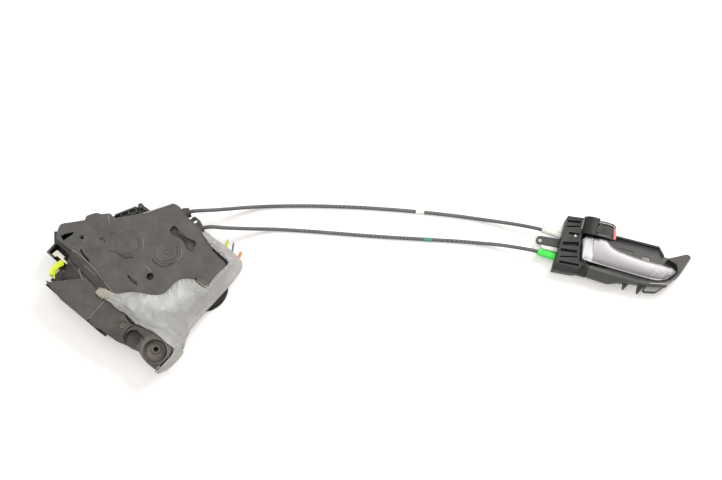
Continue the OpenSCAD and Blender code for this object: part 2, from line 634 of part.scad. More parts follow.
module latch_plate() color([0.16, 0.15, 0.15]) on_latch() difference() {
    union() {
        upright(plate_face, plate_back) polygon(rounded(plate_outline, 6));
        for (p = fixing_at) cross_rod(p, fixing_r + 2, plate_face + eps, plate_face + fixing_len);
    }
    upright(plate_face - 1, plate_back + 1) striker_slot_2d(striker_slot_w);
    for (p = fixing_at) cross_rod(p, fixing_r, plate_face - 1, plate_face + fixing_len + 1);
    for (p = [fork_at, pawl_at]) cross_rod(p, latch_pin_r - 1, plate_face - 1, plate_back + 1);
}

// The pawl's outline about its pin
pawl_shape = concat(
    [[-22.9, 8.8], [-21.2, 12.6], [-12, 11.5], [-3, 6.6]],
    arc([0, 0], 7, 100, -20, 8),
    [[11.5, -3.4], [11.5, -7], [3, -9]],
    arc([0, 0], 7, -70, -150, 5),
    [[-8, 1], [-16, 5.2]]
);

module fork_room_2d() {
    translate(fork_at) circle(r = fork_r + play + 0.1, $fn = 72);
    translate(pawl_at) circle(r = 8, $fn = 72);
    translate(pawl_at) polygon([
        [-25, 5], [-24.5, 17], [-17, 17], [0, 10.5], [12.5, 4], [13, -14], [2, -14], [-14, -2]]);
}

module latch_case() color([0.1, 0.1, 0.1]) on_latch() difference() {
    union() {
        upright(plate_back, case_back) polygon([
            [2, 0.5], [77, 0.5], [77, plate_h - 0.5], [12, plate_h - 0.5], [6, plate_h - 9],
            [2, plate_h - 18]]);
        // Nose behind the upper fixing hole
        upright(plate_face + fixing_len + 1, case_back)
            polygon([[-0.5, 8], [14, 8], [14, plate_h - 4], [-0.5, plate_h - 4]]);
    }
    upright(plate_back - 1, pocket_floor) fork_room_2d();
    upright(plate_back - 1, case_back - 3) striker_slot_2d(striker_slot_w);
    for (p = fixing_at) cross_rod(p, fixing_r + 2.3, plate_back - 1, plate_face + fixing_len + 0.5);
    for (p = [fork_at, pawl_at]) cross_rod(p, latch_pin_r, plate_back, case_back + 1);
    // Seats of the springs and the bumper
    cross_rod(fork_at, 8, pocket_floor - 1, pocket_floor + 4.5);
    cross_rod(pawl_at, 7, pocket_floor - 1, pocket_floor + 4.5);
    translate([slot_x - 5, pocket_floor - 1, slot_top + 8.5]) cube([10, 8, 6]);
}

module back_plate() color([0.5, 0.48, 0.42]) on_latch() difference() {
    upright(case_back, back_face)
        polygon(rounded([[0, 6], [4, 2], [75, 2], [75, plate_h - 2], [0, plate_h - 4]], 4));
    for (p = [fork_at, pawl_at]) cross_rod(p, latch_pin_r, case_back - 1, back_face + 1);
    cross_rod(outside_pivot, 3, case_back - 1, back_face + 1);
}

// Fork bolt: drawn latched, with its throat level, then turned to open
module fork_2d() difference() {
    union() {
        circle(r = 12.5, $fn = 72);
        polygon(concat([[0, 0]], arc([0, 0], fork_r - 2.5, 14, 38, 4), arc([0, 0], fork_r, 38, 125, 12)));
        polygon(concat([[0, 0]], arc([0, 0], fork_r - 0.6, -62, -14, 8)));
    }
    translate([16, 0]) circle(r = striker_r + 0.8, $fn = facets);
    translate([16, -striker_r - 0.8]) square([12, 2 * striker_r + 1.6]);
    circle(r = latch_pin_r + fit, $fn = facets);
}
module fork_bolt() color([0.3, 0.28, 0.26]) on_latch() upright(fork_front, fork_back)
    translate(fork_at) rotate(-fork_turn) fork_2d();

module pawl() color([0.34, 0.32, 0.3]) on_latch() upright(fork_front, fork_back)
    translate(pawl_at) difference() {
        polygon(pawl_shape);
        circle(r = latch_pin_r + fit, $fn = facets);
    }

// A shouldered pin: its thin end fills the plate, the rest runs to the back plate
module latch_pin(at) {
    cross_rod(at, latch_pin_r - 1, plate_face, plate_back + eps);
    cross_rod(at, latch_pin_r, plate_back, back_face);
}
module fork_pin() color([0.6, 0.6, 0.62]) on_latch() latch_pin(fork_at);
module pawl_pin() color([0.6, 0.6, 0.62]) on_latch() latch_pin(pawl_at);

module fork_spring() color([0.45, 0.45, 0.47]) on_latch()
    translate([fork_at[0], pocket_floor + 3.4, fork_at[1]]) rotate([90, 0, 0])
        coil(6, 0.6, 2, 1.35, 3);
module pawl_spring() color([0.45, 0.45, 0.47]) on_latch()
    translate([pawl_at[0], pocket_floor + 3.4, pawl_at[1]]) rotate([90, 0, 0])
        coil(5.2, 0.5, 2, 1.3, 2.6);

module striker_bumper() color([0.08, 0.08, 0.08]) on_latch()
    translate([slot_x - 5, pocket_floor, slot_top + 8.5]) cube([10, 7, 6]);

module outside_lever() color([0.86, 0.84, 0.76]) on_latch() difference() {
    union() {
        upright(outside_plane[0], outside_plane[1]) union() {
            translate(outside_pivot) circle(r = 7.5, $fn = facets);
            polygon(rounded([[13, 34.4], [4, 40.6], [-17, 40.6], [-18, 37], [-4, 33.6], [5, 24]], 1.5, 2));
            polygon([[14, 20], [36, 14], [37.5, 18], [14, 32]]);
        }
        // Ear bent over at the lever's end
        slab([[-17.6, -17.4], [-13, -17.4], [-12, -15.4], [-5, -13.6], [-5, -11], [-16.4, -10.6]], 39, 40.6);
    }
    cross_rod(outside_pivot, 3 + fit, outside_plane[0] - 1, outside_plane[1] + 1);
}

module outside_lever_pin() color([0.6, 0.6, 0.62]) on_latch() {
    cross_rod(outside_pivot, 3, case_back, outside_plane[1] + play);
    cross_rod(outside_pivot, 5, outside_plane[1] + play, outside_plane[1] + 1.8);
    difference() {
        cross_rod(outside_pivot, 5, back_face, outside_plane[0] - play);
        cross_rod(outside_pivot, 3, back_face - 1, outside_plane[0]);
    }
}

clip_at = [6, -27];
module rod_clip() color([0.84, 0.88, 0.18]) on_latch() {
    slab(concat(arc(clip_at, 13.6, 143, 222, 8), arc(clip_at, 9.6, 222, 143, 8)), plate_h - 10.5, plate_h);
    slab([[-8.2, -22], [-2, -22], [-1.5, -15.5], [-6.5, -15.5]], plate_h - 7.4, plate_h - 2.4);
}

// Shield strip over the latch
module shield_strip() color([0.37, 0.35, 0.33]) on_latch() difference() {
    union() {
        slab(rounded(shield_outline, 3), shield_top - shield_wall, shield_top);
        bar([-0.5, -42.8], [24.5, -46.6], 1.6, shield_top - 1, shield_top + 0.5);
        bar([24.5, -46.6], [60.6, -45.8], 1.6, shield_top - 1, shield_top + 0.5);
        bar([12, -5.5], [47, -11.6], 1.4, shield_top - eps, shield_top + 0.8);
    }
    slab([[61.3, -60], [70, -60], [70, 0], [61.3, 0]], 30, 60);
}

// Foot of the shield, with the fixing cup
foot_hollow = [
    [105.5, -35.4], [102, -31.5], [101.2, -27], [102.6, -22.4], [106, -20.2], [111.5, -19.9], [116.4, -21.2],
    [117.6, -25.5], [118.2, -29.5], [116, -33.6], [110.5, -35.2]
];
hollow_depth = 8;
module shield_foot() color([0.36, 0.34, 0.32]) on_latch() difference() {
    union() {
        difference() {
            slab(rounded(foot_outline, 3), 22, shield_top);
            slab(rounded(inset(foot_outline, shield_wall), 2), 21, shield_top - shield_wall);
            // Room for the corner of the latch
            translate([60, -47.5, 20]) cube([20, 28, shield_top - shield_wall - 20]);
        }
        intersection() {
            slab(rounded(foot_outline, 3), 22, shield_top);
            union() {
                translate([cup_at[0], cup_at[1], shield_top - cup_depth - shield_wall])
                    cylinder(r1 = cup_floor_r + shield_wall, r2 = cup_r + shield_wall,
                        h = cup_depth + shield_wall, $fn = facets);
                slab(rounded(inset(foot_hollow, -shield_wall), 2),
                    shield_top - hollow_depth - shield_wall, shield_top);
            }
        }
    }
    translate([cup_at[0], cup_at[1], shield_top - cup_depth])
        cylinder(r1 = cup_floor_r, r2 = cup_r, h = cup_depth + eps, $fn = facets);
    post(cup_at, bush_bore + 1.6, 20, shield_top);
    // Deep hollow before the cup
    slab(rounded(foot_hollow, 2), shield_top - hollow_depth, shield_top + 1);
    slab(concat(arc([92, -24], 4, 40, 290, 12), arc([92, -24], 2.2, 290, 40, 12)),
        shield_top - 1, shield_top + 1);
}

module fixing_bush() color([0.5, 0.49, 0.46]) on_latch() difference() {
    union() {
        post(cup_at, bush_bore + 1.6, shield_top - cup_depth - shield_wall,
            shield_top - cup_depth + bush_len - 2);
        post(cup_at, bush_bore + 2.8, shield_top - cup_depth, shield_top - cup_depth + 2);
    }
    post(cup_at, bush_bore, 10, shield_top);
}

// Cables
module ferrule(exit) difference() {
    union() {
        cable_rod(exit, ferrule_r, -ferrule_len, -ferrule_flange + eps);
        cable_rod(exit, ferrule_r + flange_lip, -ferrule_flange, 0);
    }
    cable_rod(exit, pull_wire_r + wire_play, -ferrule_len - 1, -0.6);
}
module lock_ferrule() color([0.14, 0.14, 0.14]) on_latch() ferrule(lock_exit);
module open_ferrule() color([0.14, 0.14, 0.14]) on_latch() ferrule(open_exit);

// Wire with its end barrel, from the lever to inside the ferrule
module wire_to_lever(exit, run, stop) {
    cable_rod(exit, pull_wire_r, -run, -stop);
    post(exit - run * cable_out, nipple_r, lever_z - 0.6, seam_z + 1.5);
}
module lock_wire_end() color([0.6, 0.6, 0.6]) on_latch() wire_to_lever(lock_exit, lock_run, 2.5);
module open_wire_end() color([0.6, 0.6, 0.6]) on_latch() wire_to_lever(open_exit, open_run, 11);

function full_route(exit, middle, start, y) = concat([latch_point(exit, seam_z),
    latch_point(exit + 2.6 * cable_out, seam_z - 0.1)], middle,
    [handle_point([start - 6, y], fitting_z), handle_point([start, y], fitting_z)]);
lock_line = spline(full_route(lock_exit, lock_route, white_start, lock_wire_y), 2);
open_line = spline(full_route(open_exit, open_route, green_start, open_wire_y), 2);

module lock_conduit() color([0.16, 0.16, 0.17]) on_table() tube(lock_line, conduit_d / 2, 8);
module open_conduit() color([0.16, 0.16, 0.17]) on_table() tube(open_line, conduit_d / 2, 8);

// A printed band round a conduit, at one point of its line
module band(line, i, length, extra) {
    t = unit(line[i + 1] - line[i - 1]);
    difference() {
        tube([line[i] - t * length / 2, line[i] + t * length / 2], conduit_d / 2 + extra, 12);
        tube([line[i] - t * length, line[i] + t * length], conduit_d / 2 + 0.12, 12);
    }
}
module white_band() color([0.93, 0.93, 0.92]) on_table() band(lock_line, 27, 9, 0.38);
module green_band() color([0.2, 0.5, 0.42]) on_table() band(open_line, 28, 9, 0.38);

// A rod along the handle's X axis
module along(y, z, r0, r1, x0, x1) translate([x0, y, z]) rotate([0, 90, 0])
    cylinder(r1 = r0, r2 = r1, h = x1 - x0, $fn = facets);
module end_fitting(start, y, r0, r1) difference() {
    union() {
        along(y, fitting_z, r0, r1, start, -31.6);
        along(y, fitting_z, 2.7, 2.7, -31.6 - eps, fitting_end);
    }
    along(y, fitting_z, pull_wire_r + wire_play, pull_wire_r + wire_play, start + 0.6, fitting_end + 1);
}
module white_fitting() color([0.93, 0.93, 0.9]) on_handle() end_fitting(white_start, lock_wire_y, 3.2, 3.8);
module green_fitting() color([0.2, 0.85, 0.3]) on_handle() end_fitting(green_start, open_wire_y, 3.6, 4.3);

// Wire with its end barrel, from inside the fitting to the arm in the handle
module wire_to_arm(start, y, barrel) {
    along(y, fitting_z, pull_wire_r, pull_wire_r, start, hinge_x);
    cross_rod([hinge_x, fitting_z], nipple_r, barrel[0], barrel[1]);
}
arm_len = hinge_z - fitting_z;
module lock_pull_wire() color([0.6, 0.6, 0.6]) on_handle()
    wire_to_arm(white_start + 8, lock_wire_y, [8, 17.5]);
module open_pull_wire() color([0.6, 0.6, 0.6]) on_handle()
    wire_to_arm(green_start + 2, open_wire_y, [-16.6, -11]);

// Handle frame
hook_pitch = 15.8;
slot_depth = 5;
// Inner face of the hinge ear on the lip's side, which leaves room for the spring
hinge_gap_y = lever_y[0] - 2;
block_slots = [
    [-29.6, 21.6, 14, 2.4, 11], [-28.9, 16, 14.2, 1.5, 17], [-25, 9, 11.5, 2.4, 9], [-28, -5, 17.4, 4.2, 15],
    [-28.8, -11.6, 17.6, 3.2, 9], [-27.6, -18, 18.6, 1.4, 15], [-27.4, -24.4, 21.6, 2.6, 5]
];
// The slope that the lip's lower face has along the whole handle
module lip_slope() translate([-40, 0, 0]) rotate([90, 0, 90]) linear_extrude(160)
    polygon([[-34, 7], [40, 7], [40, 45], [-15, 45], [-21, 25], [-31, 13]]);
frame_plan = [
    [-12, 26], [25, 24.6], [74.5, 26.3], [82, 18], [92.5, 17.5], [94, 8], [93, -9], [84, -15], [62, -20],
    [30, -27], [-6, -28], [-12, -28]
];
module handle_frame() color([0.22, 0.22, 0.21]) on_handle() difference() {
    union() {
        // Ribbed block, whose lower corner reaches round the lever's hinge end
        slab([[-31, 28.5], [-13.5, 31], [-11, 31], [-11, 8], [-9.8, 4], [-9.7, -1], [-8.4, -9.5], [-7.2, -13],
            [-6.9, -15.2], [-5.2, hinge_gap_y], [-3, hinge_gap_y], [-3, -21.9], [-7.7, -28.6], [-31.5, -31]],
            0, block_h);
        // Cheek that carries the lip's slope on from the bezel to the block
        intersection() {
            slab([[-7.8, -28.6], [-3.2, -21.9], [-3.2, hinge_gap_y], [4.7, hinge_gap_y], [4.7, -28.4]],
                frame_plate_z - frame_plate_t, hinge_z + 2.5);
            lip_slope();
        }
        slab([[-12, 13], [-11, -10], [-5, -11], [-6, -28], [-12, -28]], 0, 14);
        // Plate and its upper rim
        slab(frame_plan, frame_plate_z - frame_plate_t, frame_plate_z);
        bar([-11, 25.2], [25, 23.8], 2, frame_plate_z - 8, frame_plate_z + 5.5);
        bar([25, 23.8], [74.5, 25.4], 2, frame_plate_z - 8, frame_plate_z + 5.5);
        bar([74.5, 25.4], [81.5, 17.6], 2, frame_plate_z - 8, frame_plate_z + 3);
        // Ears of the hinge pin
        for (y = [[hinge_span[0], hinge_gap_y, 12], [lever_y[1] + play, 14 - play / 2, 16]])
            upright(y[0], y[1]) union() {
                translate([hinge_x - 6, frame_plate_z - 1]) square([y[2], hinge_z - frame_plate_z - 3]);
                translate([hinge_x - 6, frame_plate_z - 1]) square([12, hinge_z - frame_plate_z + 1]);
                translate([hinge_x, hinge_z]) circle(r = hinge_pin_r + 1.6, $fn = facets);
            }
        // Hood over the lock knob's hub
        upright(14 - play / 2, hood_end) translate([hinge_x, hinge_z]) polygon(concat(
            arc([0, 0], hood_r, 73, 180, 12), arc([0, 0], hood_r - 2.2, 180, 73, 12)));
        upright(hood_end - 1.9, hood_end) translate([hinge_x, hinge_z]) polygon(concat(
            arc([0, 0], hood_r, 73, 180, 12), arc([0, 0], 6, 235, 360, 6)));
        // Arm with its screw hole
        slab(concat([[-30, 5]], arc([-52, -2.4], 4.6, 100, 260, 8), [[-30, -4]]), 8, 12);
        // Pointed hooks and tab on the lower edge
        for (x = [0, hook_pitch]) translate([x, 0, 0])
            slab([[47.7, -16], [55.8, -16], [52.3, -22.6], [49.5, -28.2], [48.1, -27.8], [47.6, -23]], 0, 9);
        slab(rounded([[71, -17], [88.4, -12.6], [90.6, -14], [85.4, -20.5], [83.4, -22.7], [71.4, -25.6],
            [68.8, -24]], 1.5), 3, 8.1);
    }
    // Slots between the ribs of the block: corner, length, width and slant of each
    for (s = block_slots) translate([s[0], s[1], block_h - slot_depth]) rotate([0, 0, s[4]])
        cube([s[2], s[3], slot_depth + 1]);
    // Sloping lower face of the block, and its hollow from below
    translate([-33, 0, 0]) rotate([90, 0, 90]) linear_extrude(34)
        polygon([[-34, 6], [-31, 8], [-25, block_h + eps], [-34, block_h + eps]]);
    slab([[-25, 5.5], [-25, 18.5], [-13.2, 18.5], [-13.2, 5.5]], -1, block_h - slot_depth - 2);
    // Channels of the fittings and the pull wires
    for (y = [lock_wire_y, open_wire_y]) {
        along(y, fitting_z, 2.8, 2.8, -40, fitting_end + eps);
        along(y, fitting_z, 2.2, 2.2, fitting_end, 4);
    }
    post([-17.5, 9.5], 1.5, -1, block_h + 1);
    post([-52, -2.4], arm_hole_r, 7, 13);
    // Window under the hinge for the two arms
    slab([[-10.9, -17], [15, -17], [15, -9], [-10.9, -9]], 5, 15);
    slab([[-10.8, 7], [3.2, 7], [3.2, 19], [-10.8, 19]], 5, 14.5);
    // Sunk field and window of the plate beside the lever
    slab([[33, 4], [33, 14], [49.8, 14.2], [49.8, 4]], frame_plate_z - 0.9, frame_plate_z + 1);
    slab(rounded([[59.6, 7.5], [68.4, 7.5], [68.4, 12], [66.8, 12.8], [60.6, 12.8]], 1), 5, 15);
    cross_rod([hinge_x, hinge_z], hinge_pin_r, hinge_span[0] - 1, hinge_span[1] + 2);
}

bezel_out = [
    [5, -28.4], [30, -29.2], [44, -23.6], [64, -20.6], [90, -14.6], [98, -7], [101.5, 1], [107, 18.4],
    [105, 21.5], [101.6, 22.4]
];
bezel_in = [
    [84.5, 13.6], [86, 12], [94.5, 9.6], [97.4, 2], [95.6, -3.6], [91, -9.8], [86, -13],
    [77, -14.9], [60, -15.2], [30, -15.2], [24, -15.5], [20, hinge_gap_y], [5, hinge_gap_y]
];
module handle_bezel() color([0.27, 0.27, 0.26]) on_handle() intersection() {
    slab(rounded(concat(bezel_out, bezel_in), 2.5), frame_plate_z, 40);
    // Side view of the lip, which rises to the wing
    upright(-40, 40) polygon([
        [0, 8], [110, 8], [110, 36], [104, 33], [92, 28], [60, 25.5], [30, 25.5], [0, hinge_z + 2.5]]);
    lip_slope();
}

// Handle lever: its plan, its side view and its crowned face cut each other
module handle_lever() color([0.82, 0.8, 0.82]) on_handle() difference() {
    union() {
        intersection() {
            slab(rounded(lever_plan, 4), hinge_z - 9, lever_top + 2);
            upright(lever_y[0], cover_edge) polygon(concat(
                arc([hinge_x, hinge_z], lever_end_r, 205, 100, 10),
                [[4, hinge_z + 8.9], [14, lever_top - 0.4], [36, lever_top], [66, lever_top - 0.2],
                 [84, lever_top - 1.6], [lever_reach + 1, lever_top - 4]],
                [[lever_reach + 1, lever_top - 4 - lever_tip_t / 2], [84, lever_top - lever_tip_t - 2],
                 [50, lever_top - lever_tip_t - 1.5], [20, lever_top - lever_tip_t - 3], [8, hinge_z - 2]]));
            translate([-20, -1.5, lever_top - 59.6]) rotate([0, 90, 0]) cylinder(r = 60, h = 130, $fn = 96);
        }
        cross_rod([hinge_x, hinge_z], 5.4, lever_y[0] + 0.4, lever_y[1] - 0.4);
        translate([hinge_x - 3.9, -14, hinge_z - arm_len - 4.2]) cube([7.8, 2.6, arm_len + 4.2]);
    }
    cross_rod([hinge_x, hinge_z], hinge_pin_r + fit, lever_y[0] - 1, lever_y[1] + 1);
    translate([hinge_x - nipple_r - 1.3, -15, hinge_z - arm_len - 5])
        cube([2 * nipple_r + 2.6, 5, 5 + nipple_r + 1]);
    // Hollow of the hinge end, behind the face
    translate([hinge_x + 7, -11, hinge_z - 8]) cube([24, 19, 10.5]);
}

// Lock knob: the thumb pad has a rim round its dish, and a strip of its outer end is the red mark
knob_top = hinge_z + hood_r;
module knob_form() difference() {
    intersection() {
        slab(rounded(knob_plan, 2.5), hinge_z - 2, knob_top + 1);
        upright(knob_y, 32) polygon([
            [1, hinge_z], [1, hinge_z + 8], [3.4, hinge_z + 8.6], [4.2, knob_top - 0.4],
            [10, knob_top - 0.6], [15, knob_top - 1.2], [20, knob_top - 0.8], [26, knob_top],
            [26, knob_top - 7], [10, hinge_z]]);
    }
    slab(rounded(inset(pad_plan, 2.2), 2), knob_top - 2.2, knob_top + 1);
}
pad_plan = [[4.2, knob_y], [4.2, 30.6], [9, 31.6], [19.2, 31.2], [21.4, 27.8], [22.2, 22], [22.2, knob_y]];
module lock_knob() color([0.13, 0.13, 0.13]) on_handle() difference() {
    union() {
        knob_form();
        cross_rod([hinge_x, hinge_z], 5, knob_y, 30.2);
        translate([hinge_x - 3.9, knob_y, hinge_z - arm_len - 4.2]) cube([7.8, 2.6, arm_len + 4.2]);
    }
    cross_rod([hinge_x, hinge_z], hinge_pin_r + fit, 10, 34);
    translate([hinge_x - nipple_r - 1.3, 13, hinge_z - arm_len - 5])
        cube([2 * nipple_r + 2.6, 5, 5 + nipple_r + 1]);
    slab(mark_strip, knob_top - mark_depth, knob_top + 2);
}

module knob_mark() color([0.95, 0.35, 0.33]) on_handle() intersection() {
    knob_form();
    slab(mark_strip, knob_top - mark_depth, knob_top + 2);
}

module hinge_pin() color([0.62, 0.62, 0.64]) on_handle()
    cross_rod([hinge_x, hinge_z], hinge_pin_r, hinge_span[0], hinge_span[1]);

module handle_spring() color([0.5, 0.5, 0.52]) on_handle()
    translate([hinge_x, lever_y[0] - 0.5, hinge_z]) rotate([90, 0, 0])
        coil(3.2, 0.4, 1, 1, 2.4);

actuator_cover();
actuator_case();
pivot_pins();
lock_motor();
motor_worm();
worm_wheel();
lock_lever();
open_lever();
position_switch();
cover_screws();
round_cover();
harness_connector();
wire_ends();
wiring_seal();
latch_plate();
latch_case();
back_plate();
fork_bolt();
pawl();
fork_pin();
pawl_pin();
fork_spring();
pawl_spring();
striker_bumper();
outside_lever();
outside_lever_pin();
rod_clip();
shield_strip();
shield_foot();
fixing_bush();
lock_ferrule();
open_ferrule();
lock_wire_end();
open_wire_end();
lock_conduit();
open_conduit();
white_band();
green_band();
white_fitting();
green_fitting();
lock_pull_wire();
open_pull_wire();
handle_frame();
handle_bezel();
handle_lever();
lock_knob();
knob_mark();
hinge_pin();
handle_spring();
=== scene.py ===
# Vehicle door lock on a table: latch with its actuator housing, two pull cables and the inside handle.
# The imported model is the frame, in metres, and every section dresses or replaces its own pieces.
import random
from math import cos, pi, radians, sin

import bmesh
import bpy
from mathutils import Matrix, Vector, noise


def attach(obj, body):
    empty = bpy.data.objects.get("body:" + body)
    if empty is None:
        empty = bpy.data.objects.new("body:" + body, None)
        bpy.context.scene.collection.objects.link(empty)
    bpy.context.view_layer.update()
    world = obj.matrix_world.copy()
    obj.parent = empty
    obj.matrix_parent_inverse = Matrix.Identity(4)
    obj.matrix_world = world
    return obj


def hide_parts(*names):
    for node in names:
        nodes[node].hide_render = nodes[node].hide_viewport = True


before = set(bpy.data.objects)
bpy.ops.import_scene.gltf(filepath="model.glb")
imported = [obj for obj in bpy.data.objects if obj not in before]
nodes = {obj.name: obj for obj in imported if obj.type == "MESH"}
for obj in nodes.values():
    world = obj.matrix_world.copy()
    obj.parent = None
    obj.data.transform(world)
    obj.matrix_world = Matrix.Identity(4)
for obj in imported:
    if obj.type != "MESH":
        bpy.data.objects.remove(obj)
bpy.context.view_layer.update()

# Camera: the place the photograph was taken from, high above the table and a little in front.
# A short telephoto view, aimed at the middle of the layout.
elevation = radians(78)
camera_distance = 1.5
middle_x, middle_y = -0.00875, 0.05875
camera = bpy.data.objects.new("camera", bpy.data.cameras.new("camera"))
camera.data.lens = 68
camera.data.sensor_width = 36
camera.data.clip_start = 0.05
camera.location = (middle_x, middle_y - camera_distance * cos(elevation), camera_distance * sin(elevation))
camera.rotation_euler = (pi / 2 - elevation, 0, 0)
bpy.context.collection.objects.link(camera)
bpy.context.scene.camera = camera

# Conduits: two extruded plastic tubes with a wound steel liner, which shows as a fine spiral.
# They leave the latch's ferrules, sink to the table in long curves and rise to the handle.
# The routes' points are in millimetres from the middle of the view.
conduit_radius = 0.002
winding_pitch = 0.0032


def laid_at(x, y, turn=0):
    """Where a part lies on the table: from its own millimetres to the frame's metres."""
    return Matrix.Translation((x, y, 0)) @ Matrix.Rotation(radians(turn), 4, "Z") @ Matrix.Scale(0.001, 4)


latch_place = laid_at(-0.31375, 0.03675, -40.5)
handle_place = laid_at(0.23725, 0.04375, -16.5)
table_place = laid_at(middle_x, middle_y)

# From each lever's pivot in the housing: its arm's reach to the side, then the wire's run to the ferrule's mouth.
# The fittings' points are where the conduits end at the handle, in the handle's own millimetres.
cable_turn = 60
cable_out = Vector((cos(radians(cable_turn)), sin(radians(cable_turn)), 0))
cable_side = Vector((-sin(radians(cable_turn)), cos(radians(cable_turn)), 0))
arm_reach = 14
lock_exit = Vector((39.4, 43.5, 38)) + arm_reach * cable_side + 72.1 * cable_out
open_exit = Vector((76.2, 64, 38)) + arm_reach * cable_side + 43.9 * cable_out
lock_fitting = Vector((-53, 9.3, 11))
open_fitting = Vector((-51, -15.6, 11))
lock_route = [
    (-174, 24.7, 36), (-160, 26.6, 30.6), (-145, 29.9, 21.6), (-130, 33.4, 12.6), (-115, 36, 6.1),
    (-98, 37.5, 2.8), (-80, 37.9, 2.4), (-54, 37.9, 2.4), (-28, 37.3, 2.4), (0, 36.1, 2.4), (26, 34.4, 2.4),
    (52, 32.3, 2.4), (78, 29.8, 2.4), (105, 26.6, 2.6), (130, 22.8, 3.6), (155, 18.4, 7), (176, 14.2, 10),
]
open_route = [
    (-160, 6.8, 36), (-146, 6.9, 30.4), (-132, 8.3, 21.4), (-118, 9.8, 12.4), (-104, 11, 6),
    (-89, 11.2, 2.8), (-72, 10.3, 2.4), (-50, 8.8, 2.4), (-27, 7, 2.4), (0, 4.8, 2.4), (26, 2.9, 2.4),
    (52, 1.3, 2.4), (74, 0, 2.4), (104, -1.8, 2.6), (130, -4.2, 3.6), (152, -7, 7), (171, -10.6, 10),
]


def full_route(mouth, middle, fitting):
    """The cable's points in metres, straight out of the ferrule's mouth and straight into the handle's fitting."""
    just_out = mouth + 2.6 * cable_out - Vector((0, 0, 0.1))
    just_before = fitting - Vector((6, 0, 0))
    near = [latch_place @ mouth, latch_place @ just_out]
    far = [handle_place @ just_before, handle_place @ fitting]
    return near + [table_place @ Vector(p) for p in middle] + far


def between(a, b, c, d, t):
    """The point at t on a smooth curve through four points, from the second to the third."""
    return 0.5 * (2 * b + (c - a) * t + (2 * a - 5 * b + 4 * c - d) * t ** 2 + (3 * b - a - 3 * c + d) * t ** 3)


def smooth_line(points, steps):
    """Points of a smooth curve through the given ones."""
    line = []
    for i in range(len(points) - 1):
        b, c = points[i], points[i + 1]
        a = points[i - 1] if i else 2 * b - c
        d = points[i + 2] if i + 2 < len(points) else 2 * c - b
        line += [between(a, b, c, d, k / steps) for k in range(steps)]
    return line + [points[-1]]


def length_of(line):
    """The way along a line of points."""
    return sum((b - a).length for a, b in zip(line, line[1:]))


def show(name, mesh, smooth=40):
    """Puts a finished mesh in the scene, smooth except at its sharp edges."""
    mesh.name = name
    mesh.shade_smooth()
    mesh.set_sharp_from_angle(angle=radians(smooth))
    piece = bpy.data.objects.new(name, mesh)
    bpy.context.collection.objects.link(piece)
    return piece


def sweep(name, line, radius, sides=4):
    """A round bar along a line of points, as a mesh with a map that runs along it."""
    curve = bpy.data.curves.new(name, "CURVE")
    curve.dimensions = "3D"
    curve.bevel_depth = radius
    curve.bevel_resolution = sides
    curve.use_fill_caps = True
    spline = curve.splines.new("POLY")
    spline.points.add(len(line) - 1)
    for point, place in zip(spline.points, line):
        point.co = (*place, 1)
    carrier = bpy.data.objects.new(name + "_line", curve)
    bpy.context.collection.objects.link(carrier)
    mesh = bpy.data.meshes.new_from_object(carrier.evaluated_get(bpy.context.evaluated_depsgraph_get()))
    bpy.data.objects.remove(carrier)
    return show(name, mesh)


def srgb(red, green, blue):
    """A colour read from a picture, as the renderer's linear one."""
    shares = (channel / 255 for channel in (red, green, blue))
    return tuple(c / 12.92 if c <= 10 / 255 else ((c + 0.055) / 1.055) ** 2.4 for c in shares) + (1,)


def node_group(name, inputs, outputs):
    """An empty group of shader nodes with named inputs, their plain values, and named outputs."""
    tree = bpy.data.node_groups.new(name, "ShaderNodeTree")
    for label, kind, value in inputs:
        socket = tree.interface.new_socket(label, in_out="INPUT", socket_type=kind)
        if value is not None:
            socket.default_value = value
    for label in outputs:
        tree.interface.new_socket(label, in_out="OUTPUT", socket_type="NodeSocketFloat")
    return tree, tree.nodes.new("NodeGroupInput"), tree.nodes.new("NodeGroupOutput")


def feed(tree, node, **inputs):
    """Sets or links a node's inputs: by name, with _ for a space, or i0 for the first, i1 for the second."""
    for key, value in inputs.items():
        numbered = key[0] == "i" and key[1:].isdigit()
        socket = node.inputs[int(key[1:]) if numbered else key.replace("_", " ")]
        if isinstance(value, bpy.types.NodeSocket):
            tree.links.new(value, socket)
        else:
            socket.default_value = value
    return node


def add(tree, kind, settings=(), **inputs):
    """A new node with its settings and its inputs."""
    node = tree.nodes.new(kind)
    for key, value in dict(settings).items():
        setattr(node, key, value)
    return feed(tree, node, **inputs)


def product(tree, first, second):
    """Two values multiplied."""
    return add(tree, "ShaderNodeMath", {"operation": "MULTIPLY"}, i0=first, i1=second).outputs[0]


def ramp(tree, value, low, high, start=0.0, end=1.0):
    """A value carried from one range to another and held at its ends."""
    return add(tree, "ShaderNodeMapRange", Value=value, From_Min=low, From_Max=high, To_Min=start,
               To_Max=end).outputs[0]


def mix_colour(tree, amount, first, second, blend="MIX"):
    """A colour between two others, or the second one multiplied in."""
    return add(tree, "ShaderNodeMix", {"data_type": "RGBA", "blend_type": blend}, i0=amount, i6=first,
               i7=second).outputs[2]


# Fine grain of a moulded or worked surface: slow mottling for the colour, and a small texture for the bump
grain, g_in, g_out = node_group(
    "fine_grain", [("Vector", "NodeSocketVector", None), ("Scale", "NodeSocketFloat", 1400.0),
                   ("Mottle", "NodeSocketFloat", 45.0)], ["Shade", "Height"])
slow = add(grain, "ShaderNodeTexNoise", Vector=g_in.outputs[0], Scale=g_in.outputs[2], Detail=4.0, Roughness=0.6)
fast = add(grain, "ShaderNodeTexNoise", Vector=g_in.outputs[0], Scale=g_in.outputs[1], Detail=2.0)
feed(grain, g_out, Shade=slow.outputs[0], Height=fast.outputs[0])

